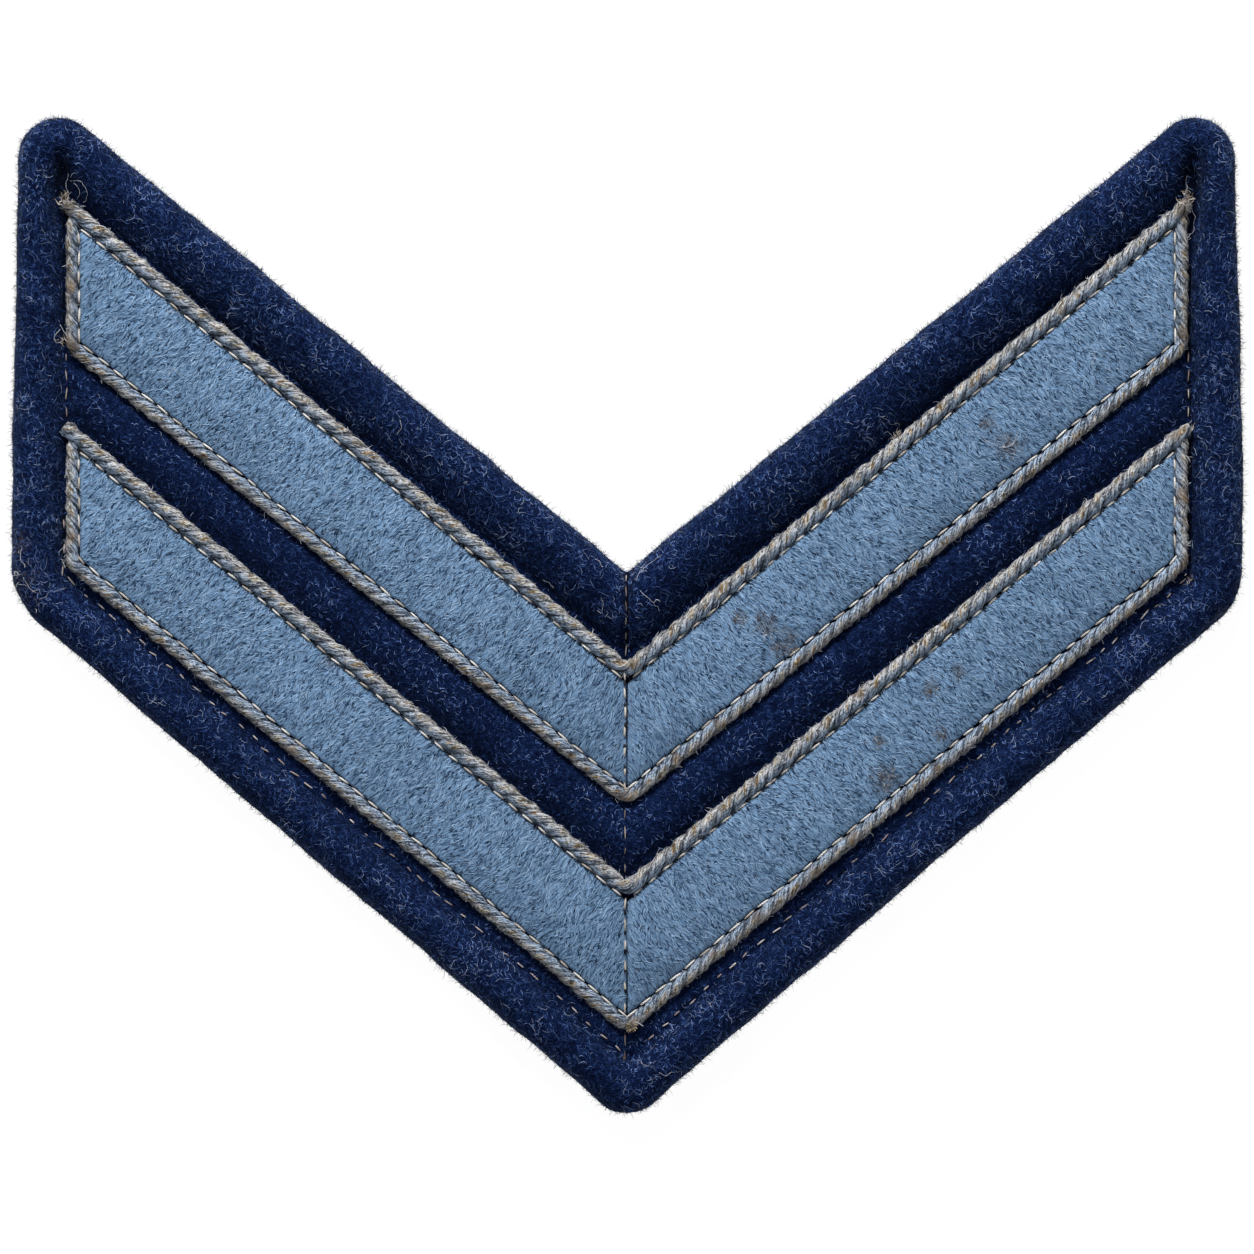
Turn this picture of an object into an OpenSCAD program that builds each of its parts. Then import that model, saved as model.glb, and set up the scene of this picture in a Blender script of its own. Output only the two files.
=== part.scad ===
/*
Two-bar cloth rank insignia, lying flat with its face up. Millimetres.
The X axis runs across the insignia, Y towards its two upper points, Z up from the back.
The origin is the middle of the back. Left and right halves mirror each other across X = 0.
*/

/* [Outline] */
// Distance from the centre line to the outer edge, at the widest place
half_w = 67.78; // [67:0.02:69]
// Distance from the centre line to the outer edge, up at the two points
point_half_w = 66.5; // [65.5:0.1:67.5]
// Height of the notch between the two points, above the middle
notch_y = 4.7; // [4.5:0.1:5.5]
// Height that the two upper points would have if they were sharp
point_y = 59.35; // [59.1:0.05:60]
// Height of the lower corner on each side, if it were sharp
side_corner_y = 1.8; // [1:0.1:2.4]
// Height of the bottom tip, if it were sharp
tip_y = -55.97; // [-57:0.01:-55.5]
// Corner radius of the notch
notch_r = 0.6; // [0.3:0.1:1.5]
// Corner radius of the two upper points
point_r = 4.2; // [2:0.1:5]
// Corner radius of the two side corners
side_corner_r = 8; // [4:0.5:10]
// Corner radius of the bottom tip
tip_r = 4; // [2:0.5:5]

/* [Padded border] */
// Height of the padded border above the back
border_h = 4.2; // [4:0.1:5]
// Width of the border along the two upper edges
border_top_w = 6.8; // [6:0.1:6.9]
// Width of the border along the two lower edges
border_bottom_w = 5.7; // [5:0.1:6.5]
// Distance from the centre line to the foot of the border on each side
border_foot_x = 61.9; // [61.9:0.1:62.5]

/* [Felt] */
// Thickness of the ground felt
ground_t = 1.9; // [1.4:0.1:2.1]
// Thickness of the stripe felt at its crown
stripe_t = 1.4; // [1:0.1:1.5]
// Gap between neighbouring pieces
gap = 0.06; // [0.05:0.01:0.1]

/* [Stripes and cords] */
// Distance from the centre line to the outside of a stripe's end cord
stripe_half_w = 61.75; // [61.4:0.05:61.75]
// Height of the upper stripe's top edge at the centre
upper_top_mid = -5; // [-5.5:0.1:-5]
// Height of the upper stripe's top edge at the ends
upper_top_end = 46.4; // [45:0.1:46.4]
// Height of the upper stripe's bottom edge at the centre
upper_bottom_mid = -20.9; // [-22:0.1:-18]
// Height of the upper stripe's bottom edge at the ends
upper_bottom_end = 29.4; // [28:0.1:31]
// Height of the lower stripe's top edge at the centre
lower_top_mid = -29; // [-30:0.1:-27]
// Height of the lower stripe's top edge at the ends
lower_top_end = 21.8; // [20:0.1:23]
// Height of the lower stripe's bottom edge at the centre
lower_bottom_mid = -46; // [-46.4:0.1:-44]
// Height of the lower stripe's bottom edge at the ends
lower_bottom_end = 5.6; // [5.4:0.1:8]
// Diameter of the cord along a stripe's top edge
top_cord_d = 1.84; // [1.6:0.02:1.9]
// Diameter of the cord round a stripe's ends and bottom edge
bottom_cord_d = 1.52; // [1.46:0.02:1.7]
// Bend radius of a cord at the centre of a stripe
cord_mid_r = 1.4; // [1.1:0.1:1.5]
// Bend radius of a cord at the lower corners of a stripe
cord_corner_r = 1.5; // [1.1:0.1:1.8]

/* [Hidden] */

navy = [0.09, 0.14, 0.29];
dark_navy = [0.06, 0.10, 0.23];
pale_blue = [0.45, 0.57, 0.70];
cord_grey = [0.62, 0.61, 0.60];

corner_steps = 8;
cord_sides = 10;
cord_step = 4;
seat_z = ground_t + gap;

// Radii of the inner foot of the border at its four kinds of corner
foot_notch_r = 0.6;
foot_point_r = 0.5;
foot_side_r = 2.2;
foot_tip_r = 0.6;

// Section of the border: columns are the way in from the outer edge, and the height
// (both as a share). The roll goes round the ground's edge: outside it the roll reaches down
// to the back, and inside it the roll lies on the ground.
border_wrap = 0.42;
ground_edge = 0.44;
border_profile = [
    [border_wrap, 0],
    [0.13, 0],
    [0.035, 0.13],
    [0, 0.33],
    [0.035, 0.57],
    [0.13, 0.79],
    [0.28, 0.94],
    [0.46, 1],
    [0.64, 0.955],
    [0.80, 0.83],
    [0.92, 0.67],
    [1, 0.52],
    [1, seat_z / border_h],
    [border_wrap, seat_z / border_h]];

// Rounded edge of a felt stripe: columns are the way in from the edge in millimetres,
// and the height as a share of the felt's thickness
felt_edge = [
    [0, 0.52],
    [0.45, 0.76],
    [1.2, 0.93],
    [2.4, 1]];

function unit(v) = v / norm(v);
function slide(a, b, t) = a + (b - a) * t;
function last(list) = list[len(list) - 1];
function mirrored(p) = [-p.x, p.y];

// Height at x of the straight line that has height mid at the centre and end at x = reach
function edge_y(x, mid, end, reach) = slide(mid, end, abs(x) / reach);

// Arc of radius r that rounds the corner b between the runs to a and to c
function corner(a, b, c, r) =
    let (u = unit(a - b),
         w = unit(c - b),
         half = acos(u * w) / 2,
         centre = b + unit(u + w) * r / sin(half),
         from = b + u * r / tan(half) - centre,
         to = b + w * r / tan(half) - centre,
         turn = 180 - 2 * half)
    [for (i = [0:corner_steps])
        let (t = i / corner_steps)
        centre + (from * sin((1 - t) * turn) + to * sin(t * turn)) / sin(turn)];

// Closed outline with rounded corners, from rows of corner point and radius
function rounded(points, radii) =
    let (n = len(points))
    [for (i = [0:n - 1])
        each corner(points[(i + n - 1) % n], points[i], points[(i + 1) % n], radii[i])];

// Heights of the border's foot where the upper and lower pairs of edges cross the centre line
top_slope = (point_y - notch_y) / point_half_w;
bottom_slope = (side_corner_y - tip_y) / half_w;
foot_notch_y = notch_y - border_top_w * norm([1, top_slope]);
foot_tip_y = tip_y + border_bottom_w * norm([1, bottom_slope]);

// Corners of the outline and of the foot, from the notch round the left side to the tip
left_outer = [[-point_half_w, point_y], [-half_w, side_corner_y]];
left_foot = [[-border_foot_x, foot_notch_y + top_slope * border_foot_x],
             [-border_foot_x, foot_tip_y + bottom_slope * border_foot_x]];
outer_corners = concat([[0, notch_y]], left_outer, [[0, tip_y]],
                       [mirrored(left_outer[1]), mirrored(left_outer[0])]);
foot_corners = concat([[0, foot_notch_y]], left_foot, [[0, foot_tip_y]],
                      [mirrored(left_foot[1]), mirrored(left_foot[0])]);
outer_radii = [notch_r, point_r, side_corner_r, tip_r, side_corner_r, point_r];
foot_radii = [foot_notch_r, foot_point_r, foot_side_r, foot_tip_r, foot_side_r, foot_point_r];
outer_path = rounded(outer_corners, outer_radii);
foot_path = rounded(foot_corners, foot_radii);

// Faces of a tube whose rings of m points follow each other: open with caps, or closed on itself
function skin_faces(rings, m, closed) =
    [for (i = [0:rings - (closed ? 1 : 2)])
        for (j = [0:m - 1])
            let (a = i * m + j,
                 b = i * m + (j + 1) % m,
                 c = (i + 1) % rings * m + j,
                 d = (i + 1) % rings * m + (j + 1) % m)
            each [[a, b, d], [a, d, c]]];
function end_caps(rings, m) =
    [[for (j = [m - 1:-1:0]) j], [for (j = [0:m - 1]) (rings - 1) * m + j]];

// Long run split into equal steps, without its last point
function steps(a, b) =
    let (n = max(1, round(norm(b - a) / cord_step)))
    [for (i = [0:n - 1]) slide(a, b, i / n)];
function stepped(path) =
    concat([for (i = [0:len(path) - 2]) each steps(path[i], path[i + 1])], [last(path)]);

// Ring of points round the path point i, square to the path's direction there
function ring(path, i, r, z) =
    let (n = len(path),
         before = i == 0 ? path[1] - path[0] : path[i] - path[i - 1],
         after = i == n - 1 ? path[n - 1] - path[n - 2] : path[i + 1] - path[i],
         along = unit(unit(before) + unit(after)),
         widen = 1 / (unit(before) * along),
         side = [along.y, -along.x])
    [for (k = [0:cord_sides - 1])
        let (angle = (k + 0.5) * 360 / cord_sides,
             flat = path[i] + side * cos(angle) * r * widen)
        [flat.x, flat.y, z + sin(angle) * r]];

// Round cord laid on the ground felt along a flat path
module laid_cord(path, d) {
    run = stepped(path);
    points = [for (i = [0:len(run) - 1]) each ring(run, i, d / 2, seat_z + d / 2)];
    polyhedron(points, concat(skin_faces(len(run), cord_sides, false),
                              end_caps(len(run), cord_sides)));
}

// How much longer a slanting edge's width measures upright than square to the edge
function upright(mid, end) = norm([stripe_half_w, end - mid]) / stripe_half_w;

// Cord along a stripe's top edge, bent once at the centre
module top_cord(mid, end) {
    drop = top_cord_d / 2 * upright(mid, end);
    reach = stripe_half_w - top_cord_d / 4;
    tip = [reach, edge_y(reach, mid, end, stripe_half_w) - drop];
    bend = corner(mirrored(tip), [0, mid - drop], tip, cord_mid_r);
    laid_cord(concat([mirrored(tip)], bend, [tip]), top_cord_d);
}

// Cord down a stripe's left end, along its bottom edge and up its right end.
// Its two heads tuck in under the top cord.
module bottom_cord(top_mid, top_end, mid, end) {
    r = bottom_cord_d / 2;
    x = stripe_half_w - r;
    under = (top_cord_d + r * 0.6) * upright(top_mid, top_end) + gap;
    head = [-x, edge_y(x, top_mid, top_end, stripe_half_w) - under];
    heel = [-x, edge_y(x, mid, end, stripe_half_w) + r * upright(mid, end)];
    centre = [0, mid + r * upright(mid, end)];
    left_bend = corner(head, heel, centre, cord_corner_r);
    right_bend = [for (i = [corner_steps:-1:0]) mirrored(left_bend[i])];
    bend = corner(heel, centre, mirrored(heel), cord_mid_r);
    laid_cord(concat([head], left_bend, bend, right_bend, [mirrored(head)]), bottom_cord_d);
}

// Left arm of a felt stripe, from the end cord to the centre seam. Each section across it
// runs up the lower rounded edge, over the crown and down the upper one.
module felt_arm(top_mid, top_end, bottom_mid, bottom_end) {
    top_in = top_cord_d * upright(top_mid, top_end) + gap;
    bottom_in = bottom_cord_d * upright(bottom_mid, bottom_end) + gap;
    end_x = stripe_half_w - bottom_cord_d - gap;
    back = [for (i = [len(felt_edge) - 1:-1:0]) felt_edge[i]];
    stations = concat([for (row = felt_edge) [end_x - row[0], row[1]]],
                      [for (row = back) [gap + row[0], row[1]]]);
    points = [for (station = stations)
        let (x = station[0],
             crown = stripe_t * station[1],
             high = edge_y(x, top_mid, top_end, stripe_half_w) - top_in,
             low = edge_y(x, bottom_mid, bottom_end, stripe_half_w) + bottom_in)
        each concat([[-x, low, seat_z]],
                    [for (row = felt_edge) [-x, low + row[0], seat_z + crown * row[1]]],
                    [for (row = back) [-x, high - row[0], seat_z + crown * row[1]]],
                    [[-x, high, seat_z]])];
    m = 2 * len(felt_edge) + 2;
    polyhedron(points, concat(skin_faces(len(stations), m, false), end_caps(len(stations), m)));
}

module right_side() {
    mirror([1, 0, 0]) children();
}

// Ground felt, with its edge under the border all round
module ground() {
    outline = [for (i = [0:len(outer_path) - 1]) slide(outer_path[i], foot_path[i], ground_edge)];
    color(navy) linear_extrude(ground_t) polygon(outline);
}

// Padded border: one closed roll swept round the outline
module border_roll() {
    points = [for (i = [0:len(outer_path) - 1])
        for (row = border_profile)
            let (flat = slide(outer_path[i], foot_path[i], row[0]))
            [flat.x, flat.y, row[1] * border_h]];
    color(dark_navy)
        polyhedron(points, skin_faces(len(outer_path), len(border_profile), true));
}

module upper_stripe_left() {
    color(pale_blue) felt_arm(upper_top_mid, upper_top_end, upper_bottom_mid, upper_bottom_end);
}

module upper_stripe_right() {
    right_side() upper_stripe_left();
}

module lower_stripe_left() {
    color(pale_blue) felt_arm(lower_top_mid, lower_top_end, lower_bottom_mid, lower_bottom_end);
}

module lower_stripe_right() {
    right_side() lower_stripe_left();
}

module upper_top_cord() {
    color(cord_grey) top_cord(upper_top_mid, upper_top_end);
}

module upper_bottom_cord() {
    color(cord_grey)
        bottom_cord(upper_top_mid, upper_top_end, upper_bottom_mid, upper_bottom_end);
}

module lower_top_cord() {
    color(cord_grey) top_cord(lower_top_mid, lower_top_end);
}

module lower_bottom_cord() {
    color(cord_grey)
        bottom_cord(lower_top_mid, lower_top_end, lower_bottom_mid, lower_bottom_end);
}

ground();
border_roll();
upper_stripe_left();
upper_stripe_right();
lower_stripe_left();
lower_stripe_right();
upper_top_cord();
upper_bottom_cord();
lower_top_cord();
lower_bottom_cord();
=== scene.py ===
# %% [markdown]
# # A cloth rank insignia, dressed from its CAD model
# The CAD model holds a two-bar sleeve insignia at its real size: a ground of navy felt, a padded
# border round it, two chevrons of pale blue felt, and the cords sewn round them. This lesson makes
# what solids leave plain: the fuzz of the wool, the brushed nap, the twist of the cords and every
# stitch. All ten CAD pieces are cloth, so a finer mesh takes the place of each, where it lies.

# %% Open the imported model
import math

import bmesh
import bpy
import numpy as np
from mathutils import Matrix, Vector
from mathutils import noise
from mathutils.bvhtree import BVHTree
from mathutils.geometry import delaunay_2d_cdt


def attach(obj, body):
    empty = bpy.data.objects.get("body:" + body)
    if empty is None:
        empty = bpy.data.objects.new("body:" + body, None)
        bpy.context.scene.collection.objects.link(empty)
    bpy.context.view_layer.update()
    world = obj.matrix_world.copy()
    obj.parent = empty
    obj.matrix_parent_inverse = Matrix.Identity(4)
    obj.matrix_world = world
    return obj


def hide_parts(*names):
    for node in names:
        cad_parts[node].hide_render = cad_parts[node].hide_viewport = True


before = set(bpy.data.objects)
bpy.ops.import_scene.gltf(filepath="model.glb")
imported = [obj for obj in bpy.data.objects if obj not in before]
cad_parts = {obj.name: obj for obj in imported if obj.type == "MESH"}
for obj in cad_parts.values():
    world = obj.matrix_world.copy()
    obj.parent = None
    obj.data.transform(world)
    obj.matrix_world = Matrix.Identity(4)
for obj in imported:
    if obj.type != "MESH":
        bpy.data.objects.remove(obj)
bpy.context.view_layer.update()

scene = bpy.context.scene
print("nodes:", ", ".join(sorted(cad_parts)))

# %% [markdown]
# ## Sizes
# Blender works in metres, so every size below is a number of millimetres times MM. The stripes,
# cords and border repeat the driving sizes of the CAD model, since its source isn't read here.
# The columns of STRIPES are the heights of a stripe's upper edge at the centre and at the ends,
# then the same two of its lower edge.

# %% Sizes of the insignia
MM = 0.001
HALF_W = 67.78 * MM
POINT_HALF_W = 66.5 * MM
NOTCH_Y = 4.7 * MM
POINT_Y = 59.35 * MM
SIDE_CORNER_Y = 1.8 * MM
TIP_Y = -55.97 * MM
BORDER_H = 4.2 * MM
BORDER_TOP_W = 6.8 * MM
BORDER_BOTTOM_W = 5.7 * MM
BORDER_FOOT_X = 61.9 * MM
GROUND_T = 1.9 * MM
STRIPE_T = 1.4 * MM
GAP = 0.06 * MM
SEAT_Z = GROUND_T + GAP
STRIPE_HALF_W = 61.75 * MM
TOP_CORD_D = 1.84 * MM
BOTTOM_CORD_D = 1.52 * MM
STRIPES = {
    "upper": (-5.0 * MM, 46.4 * MM, -20.9 * MM, 29.4 * MM),
    "lower": (-29.0 * MM, 21.8 * MM, -46.0 * MM, 5.6 * MM),
}
TOP_SLOPE = (POINT_Y - NOTCH_Y) / POINT_HALF_W
BOTTOM_SLOPE = (SIDE_CORNER_Y - TIP_Y) / HALF_W
FOOT_NOTCH_Y = NOTCH_Y - BORDER_TOP_W * math.hypot(1, TOP_SLOPE)
FOOT_TIP_Y = TIP_Y + BORDER_BOTTOM_W * math.hypot(1, BOTTOM_SLOPE)


def upright(mid, end):
    """How much longer a slanting edge's width is measured upright than square to the edge."""
    return math.hypot(STRIPE_HALF_W, end - mid) / STRIPE_HALF_W


def edge_y(x, mid, end):
    """Height at x of the line from mid at the centre to end at the stripe's ends."""
    return mid + (end - mid) * np.abs(x) / STRIPE_HALF_W


# %% [markdown]
# ## The camera comes first
# The insignia was photographed from straight above, far enough away that its padded edge shows no
# side. A long lens at 0.9 m gives that flat view and the same framing.

# %% Camera
FRAME_W = 137.94 * MM
FRAME_CENTRE_Y = -1.24 * MM
LENS = 235.0
SENSOR = 36.0

camera_data = bpy.data.cameras.new("camera")
camera_data.lens = LENS
camera_data.sensor_width = SENSOR
camera = bpy.data.objects.new("camera", camera_data)
camera.location = (0, FRAME_CENTRE_Y, SEAT_Z + FRAME_W * LENS / SENSOR)
scene.collection.objects.link(camera)
scene.camera = camera
print("camera height, m:", round(camera.location.z, 4))

# %% [markdown]
# ## Node trees as sums
# Materials and Geometry Nodes are both trees of nodes, and most of what they hold is arithmetic.
# A Wire stands for one output socket, and a sum on wires adds the node that does it: Math for
# numbers, Vector Math for vectors and colours. A Plan holds the tree, and its add method makes any
# other node: first its settings, then the values or wires of its sockets.

# %% Wires
def is_wide(value):
    """Whether a value is a vector or a colour, as a wire or as plain numbers."""
    if isinstance(value, Wire):
        return value.socket.type in {"VECTOR", "RGBA"}
    return hasattr(value, "__len__")


def arithmetic(operation, turned=False):
    """A method of Wire that adds one node of arithmetic. Turned, the wire comes last."""
    def build(wire, *others):
        values = (wire, *others)
        return wire.plan.sum(operation, *(values[::-1] if turned else values))
    return build


class Wire:
    """One output socket, on which Python's operators build nodes."""

    def __init__(self, plan, socket):
        self.plan = plan
        self.socket = socket

    __add__ = arithmetic("ADD")
    __radd__ = arithmetic("ADD", turned=True)
    __sub__ = arithmetic("SUBTRACT")
    __rsub__ = arithmetic("SUBTRACT", turned=True)
    __mul__ = arithmetic("MULTIPLY")
    __rmul__ = arithmetic("MULTIPLY", turned=True)
    __truediv__ = arithmetic("DIVIDE")
    __rtruediv__ = arithmetic("DIVIDE", turned=True)
    __pow__ = arithmetic("POWER")
    __abs__ = arithmetic("ABSOLUTE")
    sin = arithmetic("SINE")
    cos = arithmetic("COSINE")
    arctan2 = arithmetic("ARCTAN2")
    square_root = arithmetic("SQRT")
    floor = arithmetic("FLOOR")
    ceil = arithmetic("CEIL")
    least = arithmetic("MINIMUM")
    most = arithmetic("MAXIMUM")
    dot = arithmetic("DOT_PRODUCT")
    cross = arithmetic("CROSS_PRODUCT")
    unit = arithmetic("NORMALIZE")
    length = arithmetic("LENGTH")

    def part(self, axis):
        """The X, Y or Z part of a vector."""
        return self.plan.add("ShaderNodeSeparateXYZ", {}, {"Vector": self})[axis]

    def smooth(self, low, high, start=0.0, end=1.0):
        """From start at low to end at high, with soft ends."""
        sockets = {"Value": self, "From Min": low, "From Max": high, "To Min": start, "To Max": end}
        return self.plan.add("ShaderNodeMapRange", {"interpolation_type": "SMOOTHSTEP"}, sockets)["Result"]


# %% Plans
class Made:
    """A finished node, whose outputs are read as wires by identifier or name."""

    def __init__(self, plan, node):
        self.plan = plan
        self.node = node

    def __getitem__(self, key):
        return Wire(self.plan, find_socket(self.node.outputs, key))


def find_socket(sockets, key):
    """The socket with this identifier, or else the first with this name."""
    for socket in sockets:
        if socket.identifier == key:
            return socket
    return sockets[key]


class Plan:
    """A node tree under construction."""

    def __init__(self, tree):
        self.tree = tree

    def add(self, kind, settings, sockets):
        """Adds any node: its settings first, then its sockets' values or wires."""
        node = self.tree.nodes.new(kind)
        for name, value in settings.items():
            setattr(node, name, value)
        for key, value in sockets.items():
            self.feed(find_socket(node.inputs, key), value)
        return Made(self, node)

    def feed(self, socket, value):
        """Links a wire to a socket, or sets a plain value on it."""
        if isinstance(value, Wire):
            self.tree.links.new(value.socket, socket)
            return
        width = len(socket.default_value) if hasattr(socket.default_value, "__len__") else 0
        if width and not isinstance(value, str):
            values = list(value) if hasattr(value, "__len__") else [value] * 3
            socket.default_value = values + [1.0] * (width - len(values))
        else:
            socket.default_value = value

    def sum(self, operation, *values):
        """A Math node, or a Vector Math node where any value is a vector or a colour."""
        wide = any(is_wide(value) for value in values)
        node = self.tree.nodes.new("ShaderNodeVectorMath" if wide else "ShaderNodeMath")
        node.operation = operation
        for socket, value in zip(node.inputs, values):
            self.feed(socket, value)
        single = operation in {"DOT_PRODUCT", "LENGTH"}
        return Wire(self, node.outputs["Value" if single or not wide else "Vector"])

    def mix(self, share, first, second):
        """From first at share 0 to second at share 1, for numbers, vectors or colours."""
        kind = "Color" if is_wide(first) or is_wide(second) else "Float"
        settings = {"data_type": "RGBA" if kind == "Color" else "FLOAT"}
        sockets = {"Factor_Float": share, "A_" + kind: first, "B_" + kind: second}
        return self.add("ShaderNodeMix", settings, sockets)["Result_" + kind]

    def vector(self, x, y, z):
        """A vector from three numbers or wires."""
        return self.add("ShaderNodeCombineXYZ", {}, {"X": x, "Y": y, "Z": z})["Vector"]

    def noise(self, place, scale, detail=2.0, roughness=0.5, distortion=0.0):
        """Cloudy noise. Its Fac is one number and its Color three."""
        return self.add("ShaderNodeTexNoise", {}, {
            "Vector": place, "Scale": scale, "Detail": detail, "Roughness": roughness,
            "Distortion": distortion})

    def ramp(self, share, stops):
        """The colour at a share of the way through stops: rows of place and colour."""
        made = self.add("ShaderNodeValToRGB", {}, {"Fac": share})
        elements = made.node.color_ramp.elements
        while len(elements) < len(stops):
            elements.new(0.5)
        for element, (place, colour) in zip(elements, stops):
            element.position = place
            element.color = (*colour, 1.0)
        return made["Color"]


# %% [markdown]
# ## Trees that grow cloth
# Hairs, strands and stitches are the same small shape many times over, so Geometry Nodes places
# them. Their trees put a flat or round starter shape on each point, realize the copies, and then
# move every vertex by a formula. The copies aren't turned or scaled on the way: a vertex knows its
# own place in the starter shape, and the points hand down the rest as named attributes. Two more
# trees draw cords and loose threads as tubes. Attributes whose names start with t_ serve a tree
# alone, and it drops them at its end.

# %% Helpers for Geometry Nodes
UP = (0.0, 0.0, 1.0)
SOCKET_KINDS = {int: "NodeSocketInt", float: "NodeSocketFloat", type(None): "NodeSocketMaterial"}


class GrowingTree(Plan):
    """A tree that takes geometry and named inputs, each with its start value, or None for a material."""

    def __init__(self, name, inputs):
        super().__init__(bpy.data.node_groups.new(name, "GeometryNodeTree"))
        interface = self.tree.interface
        interface.new_socket("Geometry", in_out="INPUT", socket_type="NodeSocketGeometry")
        for label, value in inputs.items():
            socket = interface.new_socket(label, in_out="INPUT", socket_type=SOCKET_KINDS[type(value)])
            if value is not None:
                socket.default_value = value
        interface.new_socket("Geometry", in_out="OUTPUT", socket_type="NodeSocketGeometry")
        self.given = self.add("NodeGroupInput", {}, {})
        # The names of stored vectors. The meshes bring the first one with them.
        self.vector_names = {"lay"}

    def finish(self, mesh):
        """Drops what serves the tree alone, and ends it with its material and its output."""
        sockets = {"Geometry": mesh, "Name": "t_*"}
        mesh = self.add("GeometryNodeRemoveAttribute", {"pattern_mode": "WILDCARD"}, sockets)["Geometry"]
        sockets = {"Geometry": mesh, "Material": self.given["Material"]}
        painted = self.add("GeometryNodeSetMaterial", {}, sockets)["Geometry"]
        self.add("NodeGroupOutput", {}, {"Geometry": painted})
        return self.tree

    def keep(self, geometry, domain="POINT", **values):
        """Stores values on geometry, each under its name."""
        for name, value in values.items():
            kind = "FLOAT"
            if is_wide(value):
                self.vector_names.add(name)
                kind = "FLOAT2" if domain == "CORNER" else "FLOAT_VECTOR"
            settings = {"data_type": kind, "domain": domain}
            sockets = {"Geometry": geometry, "Name": name, "Value": value}
            geometry = self.add("GeometryNodeStoreNamedAttribute", settings, sockets)["Geometry"]
        return geometry

    def recall(self, name):
        """Reads what was stored under a name."""
        settings = {"data_type": "FLOAT_VECTOR" if name in self.vector_names else "FLOAT"}
        return self.add("GeometryNodeInputNamedAttribute", settings, {"Name": name})["Attribute"]

    def here(self):
        """The place of each vertex or point."""
        return self.add("GeometryNodeInputPosition", {}, {})["Position"]

    def number(self):
        """The number of each vertex or point."""
        return self.add("GeometryNodeInputIndex", {}, {})["Index"] * 1.0

    def chance(self, low, high, draw):
        """A random number for each point. Each draw that a tree makes has its own number."""
        sockets = {"Min_001": low, "Max_001": high, "Seed": self.given["Seed"] + draw}
        return self.add("FunctionNodeRandomValue", {"data_type": "FLOAT"}, sockets)["Value_001"]

    def copies(self, points, shape, **choice):
        """Puts a shape on each point, or on those of a Selection, and makes the copies real."""
        sockets = {"Points": points, "Instance": shape, **choice}
        placed = self.add("GeometryNodeInstanceOnPoints", {}, sockets)["Instances"]
        return self.add("GeometryNodeRealizeInstances", {}, {"Geometry": placed})["Geometry"]

    def moved(self, geometry, place):
        """Puts each vertex at a place."""
        return self.add("GeometryNodeSetPosition", {}, {"Geometry": geometry, "Position": place})["Geometry"]

    def smoothed(self, mesh):
        """Shades a mesh smooth."""
        return self.add("GeometryNodeSetShadeSmooth", {}, {"Geometry": mesh})["Geometry"]

    def route(self):
        """The given edges as a curve."""
        return self.add("GeometryNodeMeshToCurve", {}, {"Mesh": self.given["Geometry"]})["Curve"]

    def in_steps(self, curve, step):
        """A curve redrawn in even steps."""
        sockets = {"Curve": curve, "Length": step}
        return self.add("GeometryNodeResampleCurve", {"mode": "LENGTH"}, sockets)["Curve"]

    def tube(self, curve, sides):
        """A closed tube of the given Radius round a curve."""
        sockets = {"Resolution": sides, "Radius": self.given["Radius"]}
        ring = self.add("GeometryNodeCurvePrimitiveCircle", {}, sockets)["Curve"]
        sockets = {"Curve": curve, "Profile Curve": ring, "Fill Caps": True}
        return self.add("GeometryNodeCurveToMesh", {}, sockets)["Mesh"]


# %% Run a tree
def grow(name, base, tree, values):
    """Runs a tree on a mesh and returns the result as a plain mesh."""
    holder = bpy.data.objects.new(name, base)
    scene.collection.objects.link(holder)
    modifier = holder.modifiers.new(name, "NODES")
    modifier.node_group = tree
    for item in tree.interface.items_tree:
        if item.in_out == "INPUT" and item.name in values:
            modifier[item.identifier] = values[item.name]
    view = bpy.context.evaluated_depsgraph_get()
    grown = bpy.data.meshes.new_from_object(
        holder.evaluated_get(view), preserve_all_data_layers=True, depsgraph=view)
    holder.modifiers.clear()
    bpy.data.objects.remove(holder)
    grown.name = name
    return grown


# %% [markdown]
# ### Ribbons
# A wool fibre seen from above is a curl about a tenth of a millimetre wide, and a broken strand of
# yarn is no thicker. A flat ribbon of two or four faces is enough for either. Each ribbon has its
# own square on the UV map, where a colour of its own can go.

# %% Ribbons
SQUARE_USED = 0.8
SQUARE_EDGE = (1 - SQUARE_USED) / 2
END_TAPER = 0.7


def ribbons(plan, points, segments):
    """Lays a ribbon on each point. Each vertex keeps how far along it lies, and how far aside."""
    sockets = {"Size X": 1.0, "Size Y": 1.0, "Vertices X": segments + 1, "Vertices Y": 2}
    mesh = plan.copies(points, plan.add("GeometryNodeMeshGrid", {}, sockets)["Mesh"])
    here = plan.here() - plan.recall("t_root")
    along = here.part("X") + 0.5
    side = here.part("Y")
    number = plan.recall("t_number")
    grid = plan.recall("t_grid")
    row = (number / grid).floor()
    column = number - row * grid
    spot = plan.vector((column + SQUARE_EDGE + along * SQUARE_USED) / grid,
                       (row + 0.5 + side * SQUARE_USED) / grid, 0.0)
    mesh = plan.keep(mesh, "CORNER", OFBake=spot)
    return plan.keep(mesh, t_along=along, t_side=side)


def across_ribbon(plan):
    """How far aside a vertex lies on a ribbon that narrows towards both its ends."""
    taper = 1 - abs(plan.recall("t_along") * 2 - 1) ** 3 * END_TAPER
    return plan.recall("t_side") * taper * plan.given["Width"]


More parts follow.
